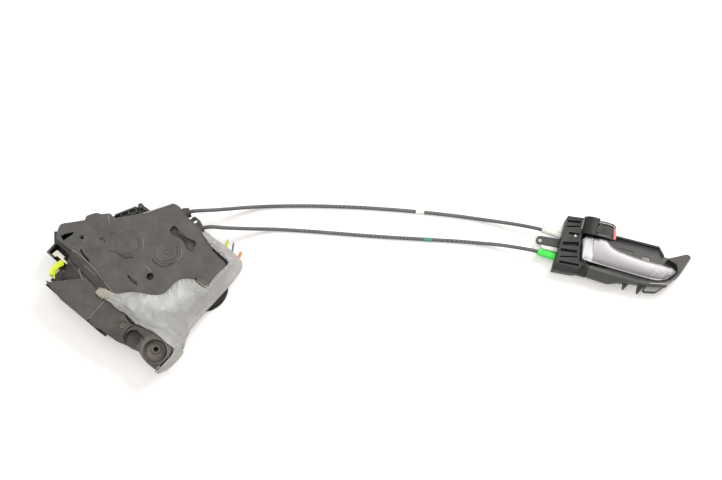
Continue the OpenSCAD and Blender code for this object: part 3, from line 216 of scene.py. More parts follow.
# Dust: settles on faces that look up, in patches
dust, d_in, d_out = node_group(
    "settled_dust", [("Vector", "NodeSocketVector", None), ("Amount", "NodeSocketFloat", 0.3)], ["Mask"])
facing = add(dust, "ShaderNodeSeparateXYZ", Vector=add(dust, "ShaderNodeNewGeometry").outputs["Normal"])
patches = add(dust, "ShaderNodeTexNoise", Vector=d_in.outputs[0], Scale=60.0, Detail=5.0, Roughness=0.65)
dusty = product(dust, ramp(dust, patches.outputs[0], 0.35, 0.75), ramp(dust, facing.outputs[2], 0.3, 1.0))
feed(dust, d_out, Mask=product(dust, dusty, d_in.outputs[1]))


def new_material(name):
    """A material with its tree, its shader and the place on the piece that its patterns read."""
    material = bpy.data.materials.new(name)
    material.use_nodes = True
    tree = material.node_tree
    place = add(tree, "ShaderNodeTexCoord").outputs["Object"]
    return material, tree, tree.nodes["Principled BSDF"], place


def grained(tree, place, scale, mottle):
    """The fine grain's shade and height."""
    skin = add(tree, "ShaderNodeGroup", {"node_tree": grain}, Vector=place, Scale=scale, Mottle=mottle)
    return skin.outputs[0], skin.outputs[1]


def dusted_over(tree, place, amount, body, dirt):
    """A colour under settled dust or tarnish of another colour."""
    film = add(tree, "ShaderNodeGroup", {"node_tree": dust}, Vector=place, Amount=amount)
    return mix_colour(tree, film.outputs[0], body, srgb(*dirt))


def bumped(tree, height, strength, distance, **under):
    """The normal of a surface with a low relief."""
    return add(tree, "ShaderNodeBump", Strength=strength, Distance=distance, Height=height, **under).outputs[0]


def plastic(name, colour, rough=0.55, mottle=0.16, dusted=0.25, bump=0.25, spread=45.0):
    """A moulded plastic: mottled colour, fine grain and a little settled dust."""
    material, tree, shader, place = new_material(name)
    shade, height = grained(tree, place, 1400.0, spread)
    dark, light = (tuple(min(1, c * share) for c in srgb(*colour)[:3]) + (1,)
                   for share in (1 - mottle, 1 + mottle))
    body = mix_colour(tree, shade, dark, light)
    feed(tree, shader, Base_Color=dusted_over(tree, place, dusted, body, (168, 162, 150)),
         Roughness=ramp(tree, shade, 0.3, 0.7, rough - 0.07, rough + 0.07), Specular_IOR_Level=0.3,
         Normal=bumped(tree, height, bump, 0.0002))
    return material


def conduit_finish(name, line):
    """Extruded sleeve over a wound liner: the winding shows as a spiral along the cable's own map."""
    material = plastic(name, (76, 76, 78), rough=0.5, dusted=0.3, bump=0.15)
    tree = material.node_tree
    shader = tree.nodes["Principled BSDF"]
    plain, grain_normal = (shader.inputs[label].links[0].from_socket for label in ("Base Color", "Normal"))
    along = add(tree, "ShaderNodeSeparateXYZ", Vector=add(tree, "ShaderNodeUVMap").outputs[0])
    wound = add(tree, "ShaderNodeMath", {"operation": "MULTIPLY_ADD"}, i0=along.outputs[0],
                i1=length_of(line) / winding_pitch, i2=along.outputs[1])
    angle = product(tree, wound.outputs[0], 2 * pi)
    wave = add(tree, "ShaderNodeMath", {"operation": "SINE"}, i0=angle).outputs[0]
    feed(tree, shader, Normal=bumped(tree, wave, 0.55, 0.00035, Normal=grain_normal),
         Base_Color=mix_colour(tree, ramp(tree, wave, -1.0, 1.0, 0.0, 0.6), plain, srgb(120, 120, 122)))
    return material


def dress(piece, material, body="housing", node=None):
    """Gives a new piece its material, its body and the model's solid that it stands for."""
    piece.data.materials.clear()
    piece.data.materials.append(material)
    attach(piece, body)
    if node:
        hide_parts(node)
    return piece


lock_line = smooth_line(full_route(lock_exit, lock_route, lock_fitting), 6)
open_line = smooth_line(full_route(open_exit, open_route, open_fitting), 6)
lock_cable = sweep("lock_cable", lock_line, conduit_radius, 6)
dress(lock_cable, conduit_finish("lock_sleeve", lock_line), node="lock_conduit")
open_cable = sweep("open_cable", open_line, conduit_radius, 6)
dress(open_cable, conduit_finish("open_sleeve", open_line), node="open_conduit")

# Bands: a white and a green tape ring on the conduits, which tell the two cables apart on the line.
# Each is one turn of thin tape, pressed on.
tape_length = 0.009
tape_radius = 0.00225
tape_white = plastic("white_tape", (238, 238, 234), rough=0.4, mottle=0.05, dusted=0.1)
tape_green = plastic("green_tape", (70, 150, 125), rough=0.4, mottle=0.08, dusted=0.1)


def tape(name, line, x, material, node):
    """A ring of tape on the cable's own line, where the line passes x."""
    at = min(range(len(line)), key=lambda i: abs(line[i].x - x))
    along = (line[at + 1] - line[at - 1]).normalized()
    middle = line[at] + along * (x - line[at].x)
    stations = [middle + along * t * tape_length for t in (-0.5, -0.17, 0.17, 0.5)]
    return dress(sweep(name, stations, tape_radius, 6), material, node=node)


white_ring = tape("white_tape_ring", lock_line, 0.0562, tape_white, "white_band")
green_ring = tape("green_tape_ring", open_line, 0.0652, tape_green, "green_band")

# Fittings at the handle: moulded ends on the conduits that snap into the hinge block.
# Turned on the lathe here: a ringed grip, a long body and a narrow neck in the block's slot.


def show_bmesh(name, bm, smooth, place=None):
    """Puts a finished bmesh in its place in the scene."""
    if place:
        bm.transform(place)
    mesh = bpy.data.meshes.new(name)
    bm.to_mesh(mesh)
    bm.free()
    return show(name, mesh, smooth)


def lathe(name, profile, place):
    """A turned piece: (radius, length) pairs along X, spun about X and put in place."""
    bm = bmesh.new()
    ring = [bm.verts.new((x, r, 0)) for r, x in profile]
    edges = [bm.edges.new(pair) for pair in zip(ring, ring[1:])]
    bmesh.ops.spin(bm, geom=ring + edges, cent=(0, 0, 0), axis=(1, 0, 0), angle=2 * pi, steps=40, use_merge=True)
    bmesh.ops.remove_doubles(bm, verts=bm.verts, dist=0.001)
    bmesh.ops.recalc_face_normals(bm, faces=bm.faces)
    return show_bmesh(name, bm, 35, place)


fitting_white = plastic("fitting_white", (222, 220, 214), rough=0.35, mottle=0.06, dusted=0.2)
fitting_green = plastic("fitting_green", (72, 226, 84), rough=0.35, mottle=0.06, dusted=0.06)
white_profile = [(0, -0.2), (2.7, -0.2), (3.1, 0.3), (3.2, 1), (3.2, 2.6), (2.8, 3), (2.8, 3.8), (3.3, 4.2),
                 (3.35, 8), (3.5, 14), (3.7, 19.5), (3.8, 20.4), (3.5, 21.2), (2.65, 21.4), (2.65, 25.6), (2.2, 26),
                 (0, 26)]
green_profile = [(0, -0.2), (3, -0.2), (3.5, 0.3), (3.7, 1), (3.8, 4), (3.95, 9), (4.1, 13), (4.25, 17),
                 (4.3, 18.8), (3.9, 19.4), (2.65, 19.4), (2.65, 23.6), (2.2, 24), (0, 24)]
white_end = lathe("white_cable_end", white_profile, handle_place @ Matrix.Translation(lock_fitting))
dress(white_end, fitting_white, node="white_fitting")
green_end = lathe("green_cable_end", green_profile, handle_place @ Matrix.Translation(open_fitting))
dress(green_end, fitting_green, node="green_fitting")
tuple(lock_line[0])
length_of(lock_line)
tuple(open_line[0])
length_of(open_line)

# Ferrules at the latch: black moulded ends pressed in the housing's split sockets.
# A flange stops each one against the housing, and a short boot grips the conduit.
ferrule_black = plastic("ferrule_black", (48, 48, 48), rough=0.42, dusted=0.2)
ferrule_profile = [(0, -22), (3.6, -22), (4, -21.6), (4, -18), (3.3, -17.6), (3.3, -16.4), (4, -16), (4, -4),
                   (5.2, -4), (5.4, -3.8), (5.4, -0.9), (5.2, -0.6), (4.6, -0.4), (3.4, -0.2), (2.1, 0), (0, 0)]
for name, mouth in (("lock_ferrule", lock_exit), ("open_ferrule", open_exit)):
    place = latch_place @ Matrix.Translation(mouth) @ Matrix.Rotation(radians(cable_turn), 4, "Z")
    dress(lathe(name + "_turned", ferrule_profile, place), ferrule_black, node=name)

# Actuator cover: the grey lid over motor, gear and levers, moulded in filled plastic.
# The model's shape with its edges rounded, and the raised and sunk lines of the moulding on its face; the raised
# lines are lighter with wear and painted highlight, and the sunk ones are near-black with painted shade.
cover_grey = plastic("cover_plastic", (78, 76, 75), rough=0.62, mottle=0.1, dusted=0.12, spread=28.0)
# Edge wear and painted highlight: a lighter plastic for the moulding's light edge lines.
wear_and_highlight_edge = plastic("worn_and_highlit_moulding", (132, 130, 125), rough=0.5, mottle=0.12, dusted=0.1)
# Painted highlight: a near-white plastic for the brightest edge lines.
painted_highlight_rib = plastic("painted_highlight_moulding", (186, 184, 180), rough=0.45, mottle=0.08, dusted=0.05)
# Painted shade: a near-black plastic with almost no shine for the dark lines in grooves, slots and gaps.
painted_groove_shade = plastic("moulding_groove_shade", (30, 28, 27), rough=0.7, mottle=0.1, dusted=0.0)
painted_groove_shade.node_tree.nodes["Principled BSDF"].inputs["Specular IOR Level"].default_value = 0.05


def round_edges(piece, width, segments, angle, harden=True):
    """Rounds the edges that are sharper than an angle, by a width in millimetres."""
    bevel = piece.modifiers.new("rounded_edges", "BEVEL")
    bevel.width = width / 1000
    bevel.segments = segments
    bevel.limit_method = "ANGLE"
    bevel.angle_limit = radians(angle)
    bevel.harden_normals = harden


def softened(node, width, segments=2, name=None):
    """A copy of a model piece with its flat faces joined again and its edges rounded."""
    bm = bmesh.new()
    bm.from_mesh(nodes[node].data)
    bmesh.ops.remove_doubles(bm, verts=bm.verts, dist=0.000004)
    bmesh.ops.dissolve_limit(bm, angle_limit=radians(0.6), verts=bm.verts, edges=bm.edges)
    piece = show_bmesh(name or node + "_moulded", bm, 32)
    round_edges(piece, width, segments, 32)
    return piece


def reshape(node, width, material, body="housing", segments=2, name=None):
    """Dresses a softened copy of a model piece, which takes that piece's place."""
    return dress(softened(node, width, segments, name), material, body, node)


def moulded_line(name, material, slot, radius, points, z=None, place=latch_place, body="housing"):
    """A thin line of the moulding, half sunk in the face it runs on, at one height or at its points' own."""
    stations = [Vector(p if z is None else (*p, z)) for p in points]
    line = [place @ p for p in smooth_line(stations, 6)]
    return dress(sweep(name, line, radius / 1000, 2), material, body)


def moulded_lines(name, slot, rows, **where):
    """Numbered lines, from rows of material, radius, height and points."""
    for i, (material, radius, z, points) in enumerate(rows):
        moulded_line("%s_%d" % (name, i), material, slot, radius, points, z, **where)


reshape("actuator_cover", 0.45, cover_grey)
on_cover, over_cover, in_cover = 50.3, 51, 49.85
# Lighter raised lines: edge wear and painted highlight, the brightest one painted highlight.
moulded_lines("cover_ridge", "cover_plastic", [
    (wear_and_highlight_edge, 0.45, on_cover, [(54.6, 46.5), (53.2, 51), (50, 54.8), (46.2, 57.3)]),
    (wear_and_highlight_edge, 0.4, on_cover, [(90.6, 63.5), (91.3, 68), (89.6, 72.2), (86, 75.6)]),
    (wear_and_highlight_edge, 0.5, on_cover, [(68.6, 36.8), (72, 37.3), (75.6, 36.9), (78.4, 35.9)]),
    (painted_highlight_rib, 0.5, over_cover, [(29.4, 77.5), (37.9, 92), (46.4, 106.6)]),
    (wear_and_highlight_edge, 0.6, on_cover, [(1.6, 52.6), (9.6, 46.6), (20.4, 38.9)]),
    (wear_and_highlight_edge, 0.3, on_cover, [(-2.6, 11.8), (1.3, 14.5), (1.5, 18.2), (-1, 20.4)]),
])
# Near-black lines: painted shade in the moulding's grooves.
moulded_lines("cover_groove_shade", "cover_plastic", [(painted_groove_shade, radius, in_cover, points) for radius, points in [
    (0.4, [(28.7, 23.6), (33, 27.2), (37, 28.3), (41.5, 28.2), (46, 29.2), (50.4, 32.4), (53.6, 36.6)]),
    (0.4, [(69.6, 47.2), (74.4, 46.7), (79, 46.9), (84.2, 48.6), (87.4, 53), (90.2, 59.6)]),
    (0.65, [(62.4, 17.4), (68.5, 16.2), (76.4, 16.8)]),
    (0.75, [(5, 6.2), (10.5, 3.6), (20.4, 2.2)]),
    (0.45, [(12.7, 26.6), (13.6, 29), (16.6, 29.8), (18.8, 27.6)]),
    (0.35, [(62.8, 84.4), (63.6, 88.3), (72.5, 89), (80.8, 88.4), (92.7, 91)]),
    (0.3, [(92.7, 91), (94.6, 86), (95, 80.6), (89.8, 81.4), (82.3, 84), (68, 82), (63, 84)]),
]])

# Case under the cover: darker half of the housing with the cable sockets, the bracket and the lever's pocket.
# It is screwed to the cover, and its floor carries the motor, the switch and the pivot pins.
case_grey = plastic("case_plastic", (64, 63, 61), rough=0.6, mottle=0.12, dusted=0.16)
reshape("actuator_case", 0.4, case_grey)


def metal(name, colour, rough=0.32, wear=0.1, metallic=1.0, tarnish=(120, 105, 88)):
    """A worked metal: slightly mottled, finely scratched, with a warm tarnish in patches."""
    material, tree, shader, place = new_material(name)
    shade, height = grained(tree, place, 900.0, 160.0)
    light = srgb(*colour)
    dark = tuple(c * 0.82 for c in light[:3]) + (1,)
    feed(tree, shader, Base_Color=dusted_over(tree, place, wear, mix_colour(tree, shade, dark, light), tarnish),
         Roughness=ramp(tree, shade, 0.3, 0.7, max(0.05, rough - 0.08), rough + 0.1), Metallic=metallic,
         Normal=bumped(tree, height, 0.12, 0.0001))
    return material


def finish_nodes(names, material):
    """Model pieces that keep their shape get their finish."""
    for node in names.split():
        nodes[node].data.materials.clear()
        nodes[node].data.materials.append(material)


finish_nodes("pivot_pins cover_screws fork_pin pawl_pin outside_lever_pin fork_spring pawl_spring"
             " lock_wire_end open_wire_end lock_pull_wire open_pull_wire",
             metal("turned_steel", (176, 176, 178), rough=0.3, wear=0.15))
finish_nodes("lock_lever open_lever", metal("zinc_plate", (196, 186, 158), rough=0.38, wear=0.2))
finish_nodes("back_plate fixing_bush hinge_pin handle_spring",
             metal("dull_steel", (96, 91, 86), rough=0.5, wear=0.25, metallic=0.6))
finish_nodes("lock_motor", metal("motor_can", (198, 198, 202), rough=0.25, wear=0.08))
finish_nodes("motor_worm worm_wheel", plastic("gear_plastic", (232, 228, 210), rough=0.4, mottle=0.05, dusted=0.05))
black = plastic("black_plastic", (30, 30, 30), rough=0.48, dusted=0.12)
finish_nodes("position_switch harness_connector", black)

# Round cover and connector: a black screwed cap under the case, and the plug that takes the harness.
# Three cut wire ends with coloured sleeves stick out of the plug, past the seal.
reshape("round_cover", 0.4, black)
for i, (across, height, colour, lean, reach, thick) in enumerate([
        (116, 28, (222, 238, 66), -1.2, 115.4, 1.6),
        (125.5, 29, (110, 142, 146), -2.6, 117.6, 1.1),
        (134.5, 29, (250, 158, 96), -0.8, 115.6, 1.7)]):
    line = smooth_line([Vector((across, 106, height)), Vector((across, 109, height)),
                        Vector((across + lean, (109 + reach) / 2, height + 0.8)),
                        Vector((across + 2 * lean, reach, height + 2))], 6)
    sleeve = sweep("wire_sleeve_%d" % i, [latch_place @ p for p in line], thick / 1000, 4)
    dress(sleeve, plastic("sleeve_%d" % i, colour, rough=0.45, mottle=0.05, dusted=0.05),
          node="wire_ends" if i == 0 else None)
    bare = [line[-1] + Vector((0.1 * k * lean, 0.3 * k, 0.15 * k)) for k in range(6)]
    core = sweep("wire_core_%d" % i, [latch_place @ p for p in bare], 0.0005, 3)
    dress(core, metal("copper_%d" % i, (214, 148, 104), rough=0.3))

# Wiring seal: a soft grey sheet of thin foam, glued along its inner edge to the cover's face.
# It wraps the connector and the cover's edge, and it is creased where it was folded over the foot.
# Each row of points runs from the glued edge over the cover's edge to the free edge.
seal_rows = [
    [(91.7, 102.2, 50.8), (92, 104.6, 50.9), (92.2, 106.4, 48.5), (92.4, 106.9, 43)],
    [(99, 100.4, 50.8), (99.6, 104, 51), (100.2, 106.6, 47.5), (100.6, 107.4, 40)],
    [(106.2, 98.6, 50.8), (107.4, 103.4, 51), (108.6, 107, 46.5), (109, 108.2, 36)],
    [(113, 98, 50.8), (115, 103, 51), (117, 107.4, 46), (118, 109.6, 35)],
    [(122, 97.8, 50.8), (124.6, 102.6, 50.9), (127.2, 107.6, 45), (128.6, 110, 33)],
    [(131, 97.6, 50.8), (133.6, 101.6, 50.9), (136.6, 106.6, 44), (138.4, 109.2, 32)],
    [(133.8, 96.6, 50.8), (137.2, 99.6, 50.7), (141.4, 103.2, 42), (143.4, 105.2, 30)],
    [(134.2, 92.8, 50.8), (137.6, 94.2, 50.8), (143, 97, 40), (145.4, 98.6, 27)],
    [(133.5, 84, 50.8), (137, 84.6, 50.9), (143, 86.4, 39), (145.8, 87, 24)],
    [(133.3, 74, 50.8), (136.6, 73.4, 50.9), (142.8, 73, 38), (145.4, 72.6, 21.6)],
    [(133.9, 66, 50.8), (137, 62.8, 50.9), (142.6, 60.4, 37), (145.2, 59.6, 20.6)],
    [(131.6, 62.4, 50.8), (136.2, 56.4, 51), (142.2, 52, 38), (144.8, 50.6, 20.4)],
    [(122.3, 61, 50.9), (131.6, 48.8, 51.2), (140.4, 43.6, 39), (144.4, 41.6, 20.6)],
    [(117.5, 59, 50.9), (127.6, 42, 51.3), (138.6, 35.6, 40), (144.4, 33.4, 21)],
    [(110.8, 53.6, 50.9), (124.4, 34, 51.3), (137.4, 27.6, 40), (144.6, 25, 22)],
    [(106.4, 47, 50.9), (122.4, 27, 51.3), (136.6, 20.6, 41), (145.4, 18, 23.6)],
    [(105.2, 34, 50.9), (119.6, 17.6, 51.3), (137, 12.6, 42.4), (148.6, 10.4, 27)],
    [(103.6, 26, 50.9), (115.4, 9.8, 51.2), (137, 5.6, 44), (152.4, 4, 32)],
    [(95.6, 18.4, 50.9), (110.4, 3, 51.1), (135, -0.6, 46), (157, -4, 37)],
    [(82.7, 10.8, 50.9), (100.4, -3.4, 51), (120, -6, 47.4), (150, -8.6, 45)],
    [(76.6, 5.8, 50.9), (90, -6.6, 50.9), (101, -10.4, 47.6), (120, -9.4, 45.1)],
    [(72.6, 2.2, 50.9), (80, -7.4, 50.4), (88, -12.6, 47), (103, -15.2, 45)],
    [(68, -3.8, 50.9), (70.6, -10, 49.2), (76, -13.8, 46.6), (86, -13.4, 45)],
    [(62.4, -7.8, 50), (62.6, -12.2, 47.6), (66, -14.6, 46.2), (78, -16.2, 45)],
    [(55, -11.4, 46.4), (56.4, -13.8, 46), (58.8, -15.6, 45.6), (66, -15.4, 45.1)],
    [(48.8, -13.8, 45.4), (49.2, -15.8, 45.3), (50, -17.6, 45.2), (51.4, -18.8, 45)],
]


def face_up(bm):
    """Turns a sheet's faces all to one side, which is the one that looks up."""
    bmesh.ops.recalc_face_normals(bm, faces=bm.faces)
    if sum(f.normal.z for f in bm.faces) < 0:
        bmesh.ops.reverse_faces(bm, faces=bm.faces)


def creased_sheet(name, rows, long_cells, cross_cells, lift, material, seed=4):
    """A sheet through rows of points, creased in flat facets that meet at sharp folds."""
    chance = random.Random(seed)
    jitter = 0.62
    across = [smooth_line([Vector(p) for p in row], 8) for row in rows]
    bm = bmesh.new()
    bmesh.ops.create_grid(bm, x_segments=long_cells, y_segments=cross_cells, size=1)
    for vert in bm.verts:
        inside = abs(vert.co.x) < 0.999 and abs(vert.co.y) < 0.999
        if inside:
            vert.co.x += chance.uniform(-jitter, jitter) / long_cells
            vert.co.y += chance.uniform(-jitter, jitter) / cross_cells
        u = (vert.co.x + 1) / 2 * (len(rows) - 1)
        v = (vert.co.y + 1) / 2 * (len(across[0]) - 1)
        i, k = min(int(u), len(rows) - 2), min(int(v), len(across[0]) - 2)
        near = [across[min(max(i + s, 0), len(rows) - 1)] for s in (-1, 0, 1, 2)]
        place = between(*(row[k].lerp(row[k + 1], v - k) for row in near), u - i)
        rise = lift * (chance.uniform(0, 1) ** 1.5 if inside else 0.15) * (0.6 + 0.4 * noise.noise(place * 0.04))
        outward = Vector((0.25, 0.1, 1)) if place.z > 48 else Vector((0.8, 0.25, 0.45))
        vert.co = place + outward.normalized() * rise
    bmesh.ops.triangulate(bm, faces=bm.faces, quad_method="SHORT_EDGE")
    face_up(bm)
    piece = show_bmesh(name, bm, 80, latch_place)
    round_edges(piece, 0.6, 2, 3)
    wall = piece.modifiers.new("thickness", "SOLIDIFY")
    wall.thickness = 0.0006
    wall.offset = 0
    return dress(piece, material)


def seal_finish(name):
    """Thin closed foam with a smooth skin: soft mottling, sharp crinkles, a low sheen and pale patches of painted
    highlight.
    """
    material, tree, shader, place = new_material(name)
    shade, height = grained(tree, place, 700.0, 34.0)
    patch = add(tree, "ShaderNodeTexNoise", Vector=place, Scale=26.0, Detail=2.0)
    # Painted highlight: pale patches in noise stand in for the light on the crumples.
    highlight_patches = ramp(tree, patch.outputs[0], 0.52, 0.66, 0.0, 0.4)
    tone = mix_colour(tree, shade, srgb(166, 165, 162), srgb(154, 152, 147))
    feed(tree, shader, Base_Color=mix_colour(tree, highlight_patches, tone, srgb(206, 206, 204)),
         Normal=bumped(tree, height, 0.25, 0.0003), Roughness=ramp(tree, shade, 0.0, 1.0, 0.26, 0.44),
         Sheen_Weight=0.15)
    return material


seal_grey = seal_finish("seal_foam")
seal = creased_sheet("wiring_seal_sheet", seal_rows, 44, 9, 2.3, seal_grey)
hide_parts("wiring_seal")
seal_fold = creased_sheet("seal_folded_end", [
    [(152.5, -5.4, 45.2), (156.2, -5, 42.4), (158.6, -4, 37)],
    [(151.9, -12.5, 44.8), (157.4, -12.5, 41.8), (159.6, -12, 35)],
    [(151.9, -21, 44.5), (157.4, -21.4, 41), (159, -21.4, 34)],
    [(151.6, -29.5, 44.4), (156.2, -30, 40.4), (157.2, -30.4, 33)],
    [(150.4, -37.2, 44), (152.2, -38.6, 38.8), (153, -39.2, 33)],
], 7, 3, 0.9, seal_grey)
tab_cream = plastic("seal_glue_tab", (168, 164, 146), rough=0.5, mottle=0.12, dusted=0.1)
glue = creased_sheet("seal_glue_end", [
    [(46.6, -18, 45), (46.8, -13.2, 45.6)],
    [(50.2, -18.8, 45.4), (51, -9.6, 48)],
    [(56.6, -17.2, 45.8), (58.4, -8, 50.4)],
    [(63, -14.6, 46.6), (66, -5, 51)],
], 6, 3, 0.9, tab_cream)

# Cover's slot and tab: a near-black flat piece along the lid's edge is painted shade for the slot, and a small
# brown tab shows at the seal's edge.
# Both are flat forms of the moulding, and a dark line round the tab is painted shadow of its gap.


def flat_shape(name, points, low, high, place, material, width=0.3):
    """A small flat piece: its outline extruded between two heights, with rounded edges."""
    bm = bmesh.new()
    face = bm.faces.new([bm.verts.new((x, y, low)) for x, y in points])
    raised = bmesh.ops.extrude_face_region(bm, geom=[face])
    for vert in raised["geom"]:
        if isinstance(vert, bmesh.types.BMVert):
            vert.co.z = high
    bmesh.ops.recalc_face_normals(bm, faces=bm.faces)
    bmesh.ops.bevel(bm, geom=list(bm.edges), offset=width, segments=2, profile=0.5, affect="EDGES", material=-1)
    return dress(show_bmesh(name, bm, 35, place), material)


slot_outline = [(110.8, 97), (112.4, 99), (124, 98.4), (133.6, 98.6), (134.6, 95.8), (133.6, 93), (131.6, 95),
                (113, 96)]
flat_shape("cover_slot", slot_outline, 49.9, 51.2, latch_place, painted_groove_shade)
tab_brown = plastic("cover_tab_plastic", (92, 82, 76), rough=0.55, mottle=0.15, dusted=0.1)
tab_outline = [(119.2, 63.4), (121, 61), (131.6, 61.6), (133.8, 63.6), (133.2, 66.6), (123.6, 66.4)]
flat_shape("cover_tab", tab_outline, 50.1, 51.5, latch_place, tab_brown, width=0.5)
moulded_line("cover_tab_shadow", painted_groove_shade, "black_plastic", 0.55,
             [(118.6, 62.6), (121, 60.2), (132, 60.4), (134.8, 63.2), (134.6, 66)], 51.6)

# Latch: two steel plates with a plastic case between them, the fork bolt and its pawl.
# The plates are black electrocoated steel, and the fork and the pawl are bare hardened steel.
coated = metal("coated_steel", (46, 44, 43), rough=0.5, wear=0.2, metallic=0.3, tarnish=(96, 82, 70))
hardened = metal("hardened_steel", (120, 116, 110), rough=0.36, wear=0.3)
reshape("latch_plate", 0.4, coated)
reshape("latch_case", 0.3, black)
reshape("fork_bolt", 0.3, hardened, "fork", name="fork_bolt_forged")
reshape("pawl", 0.3, hardened, "pawl", name="pawl_forged")
finish_nodes("striker_bumper", plastic("bumper_rubber", (36, 36, 36), rough=0.8, dusted=0.2))

# Outside lever and rod clip: a pale coated steel lever in the pocket at the latch's end.
# Its rod is held by a yellow-green snap clip, a bent band with a hooked end.
pale_lever = metal("pale_coated_steel", (226, 222, 204), rough=0.45, wear=0.25, metallic=0.15)
reshape("outside_lever", 0.3, pale_lever, "outside_lever")
clip_green = plastic("clip_plastic", (208, 222, 36), rough=0.34, mottle=0.1, dusted=0.05)
reshape("rod_clip", 0.8, clip_green, "outside_lever", 3)
moulded_line("clip_rib", clip_green, "clip_plastic", 1.1, [
    (2.3, -35.6, 40.4), (-1.6, -30.8, 41), (-2.6, -24.4, 41.2), (-1.6, -20.4, 41), (-0.6, -17.6, 40.6),
], body="outside_lever")
# Painted shade: a near-black plate over the pocket, where the pocket lies in shade.
painted_pocket_shade = plastic("painted_pocket_shade", (32, 31, 30), rough=0.6, mottle=0.2, dusted=0.1)
flat_shape("pocket_shade_wall", [(2.6, -13.4), (9, -12), (24.6, -16.4), (20, -22), (13, -28.6), (10.6, -30)], 43.4, 44.7,
           latch_place, painted_pocket_shade)
flat_shape("pocket_floor", [(-8.1, -21.9), (-5.9, -13.4), (3.2, -11.3), (26, -12.2), (26, -26), (12, -33),
                            (0.5, -33.3)], 18.5, 21, latch_place, black)

# Shield: a brown-grey moulded strip over the latch, and its foot with the screw cup.
# Both are thin moulded walls with rounded rims, dusty from use inside the door.
shield_grey = plastic("shield_plastic", (74, 71, 68), rough=0.62, mottle=0.16, dusted=0.14, spread=34.0)
foot_brown = plastic("foot_plastic", (62, 58, 55), rough=0.6, mottle=0.2, dusted=0.16, spread=50.0)
reshape("shield_strip", 0.7, shield_grey, segments=3)
reshape("shield_foot", 0.7, foot_brown, segments=3)
# Lighter ridges on the strip: edge wear and painted highlight.
moulded_lines("strip_ridge", "shield_plastic", [(wear_and_highlight_edge, *row) for row in [
    (0.35, 44.1, [(-1.6, -42.4), (10, -44.6), (24.5, -46.4), (42, -46.2), (60.6, -45.2)]),
    (0.5, 44.1, [(60.5, -18), (60.8, -30), (60.7, -43.6)]),
    (0.4, 51, [(-0.8, -0.9), (3.4, 0.6), (16.7, 0.8), (33.2, -0.4), (49.6, -3.6), (63, -5.6)]),
    (0.5, 45, [(3.1, -3.6), (8, -6), (17, -11), (24.8, -16), (28.6, -16.8)]),
    (0.35, 49.2, [(19.4, -4.2), (29.5, -4.5), (42.5, -5.4), (54.2, -7.6)]),
    (0.5, 45.2, [(47, -13.4), (43.6, -11.4), (42.2, -10.4)]),
]])
creased_sheet("strip_fold", [
    [(-1, -8, 44.2), (-1.2, -4.5, 47.4), (-1.2, -2.1, 50.3), (-1.2, -1, 50.2)],
    [(4, -10, 44.2), (3.6, -4.6, 48), (3.4, 0.1, 50.6), (3.4, 1, 50.2)],
    [(17, -12, 44.2), (16.8, -5.4, 48), (16.7, 0.3, 50.7), (16.8, 1.2, 50.2)],
    [(33, -13, 44.2), (33.2, -6.8, 47.8), (33.2, -1, 50.7), (33.4, 0, 50.2)],
    [(49, -14, 44.4), (49.4, -9.4, 47.4), (49.6, -4.2, 50.7), (49.8, -3.2, 50.2)],
    [(60, -13.6, 44.6), (61.6, -10, 47.8), (62.6, -6, 50.7), (63, -5, 50.2)],
], 20, 6, 1.0, shield_grey, seed=9)
in_foot = 44.05
# Near-black lines: painted shade in the foot's grooves and under the seal's folded edge.
moulded_lines("foot_groove_shade", "shield_plastic", [(painted_groove_shade, *row) for row in [
    (0.7, in_foot, [(85.2, -12.2), (90, -15.6), (96.3, -17.2), (103, -15.8), (108, -13.6), (114, -11)]),
    (0.55, in_foot, [(101.4, -18.4), (99.6, -23), (100, -29), (102.6, -34), (107.8, -37)]),
    (0.5, in_foot, [(105.7, -19.2), (112, -20.2), (118, -20.6), (121.4, -22.6)]),
    (0.75, None, [(150.8, -10.4, 44.6), (151.9, -13, 44.9), (152.3, -18, 44.8), (152.1, -26, 44.7),
                  (151.7, -32, 44.6)]),
]])


def upright(x, y, z=0):
    """Turns a lathe's X up, at a point."""
    return Matrix.Translation((x, y, z)) @ Matrix.Rotation(radians(-90), 4, "Y")


cup_brown = plastic("cup_plastic", (86, 80, 74), rough=0.55, mottle=0.16, dusted=0.2)
peg_profile = [(0, 0.2), (1.5, 0.2), (1.6, 1), (2.7, 1.1), (3.1, 0.7), (3.2, -0.5)]
dress(lathe("foot_peg", peg_profile, latch_place @ upright(92.6, -25.6, 44)), cup_brown)

# Screw cup in the foot: an off-centre dished seat, open at its bottom for the bush.
# The rings are (centre, radius, height), from the foot's face over the rim and down to the hole.
cup_rings = [((135, -21), 16.4, 43.9), ((135, -21), 15.6, 44.4), ((137, -23.4), 13.8, 44.5),
             ((137.1, -23.5), 13.1, 44.2), ((136.8, -22.8), 12.4, 43), ((136, -21.9), 10.4, 37.4),
             ((135.6, -21.6), 9.6, 36.4), ((135, -21), 4.9, 36.2)]
bm = bmesh.new()
ring_edges = []
for (x, y), radius, z in cup_rings:
    made = len(bm.edges)
    bmesh.ops.create_circle(bm, segments=56, radius=radius, matrix=Matrix.Translation((x, y, z)))
    ring_edges.append(list(bm.edges)[made:])
for outer, inner in zip(ring_edges, ring_edges[1:]):
    bmesh.ops.bridge_loops(bm, edges=outer + inner)
face_up(bm)
dress(show_bmesh("cup_seat", bm, 50, latch_place), cup_brown)
rim_arc = [(137.1 + 13.4 * cos(radians(a)), -23.5 + 13.4 * sin(radians(a))) for a in range(-10, 150, 16)]
# Lighter line on the cup's rim: edge wear and painted highlight.
moulded_line("cup_rim", wear_and_highlight_edge, "shield_plastic", 0.35, rim_arc, 44.6)
# Painted shade: a black closed sleeve in the bush's bore stands for the shade in the hole.
bush_profile = [(0, 29), (1.9, 29), (2, 29.4), (2, 37.4), (2.3, 37.8), (3.05, 37.8), (3.05, 29)]
dress(lathe("bush_bore_shade", bush_profile, latch_place @ upright(135, -21)), black)
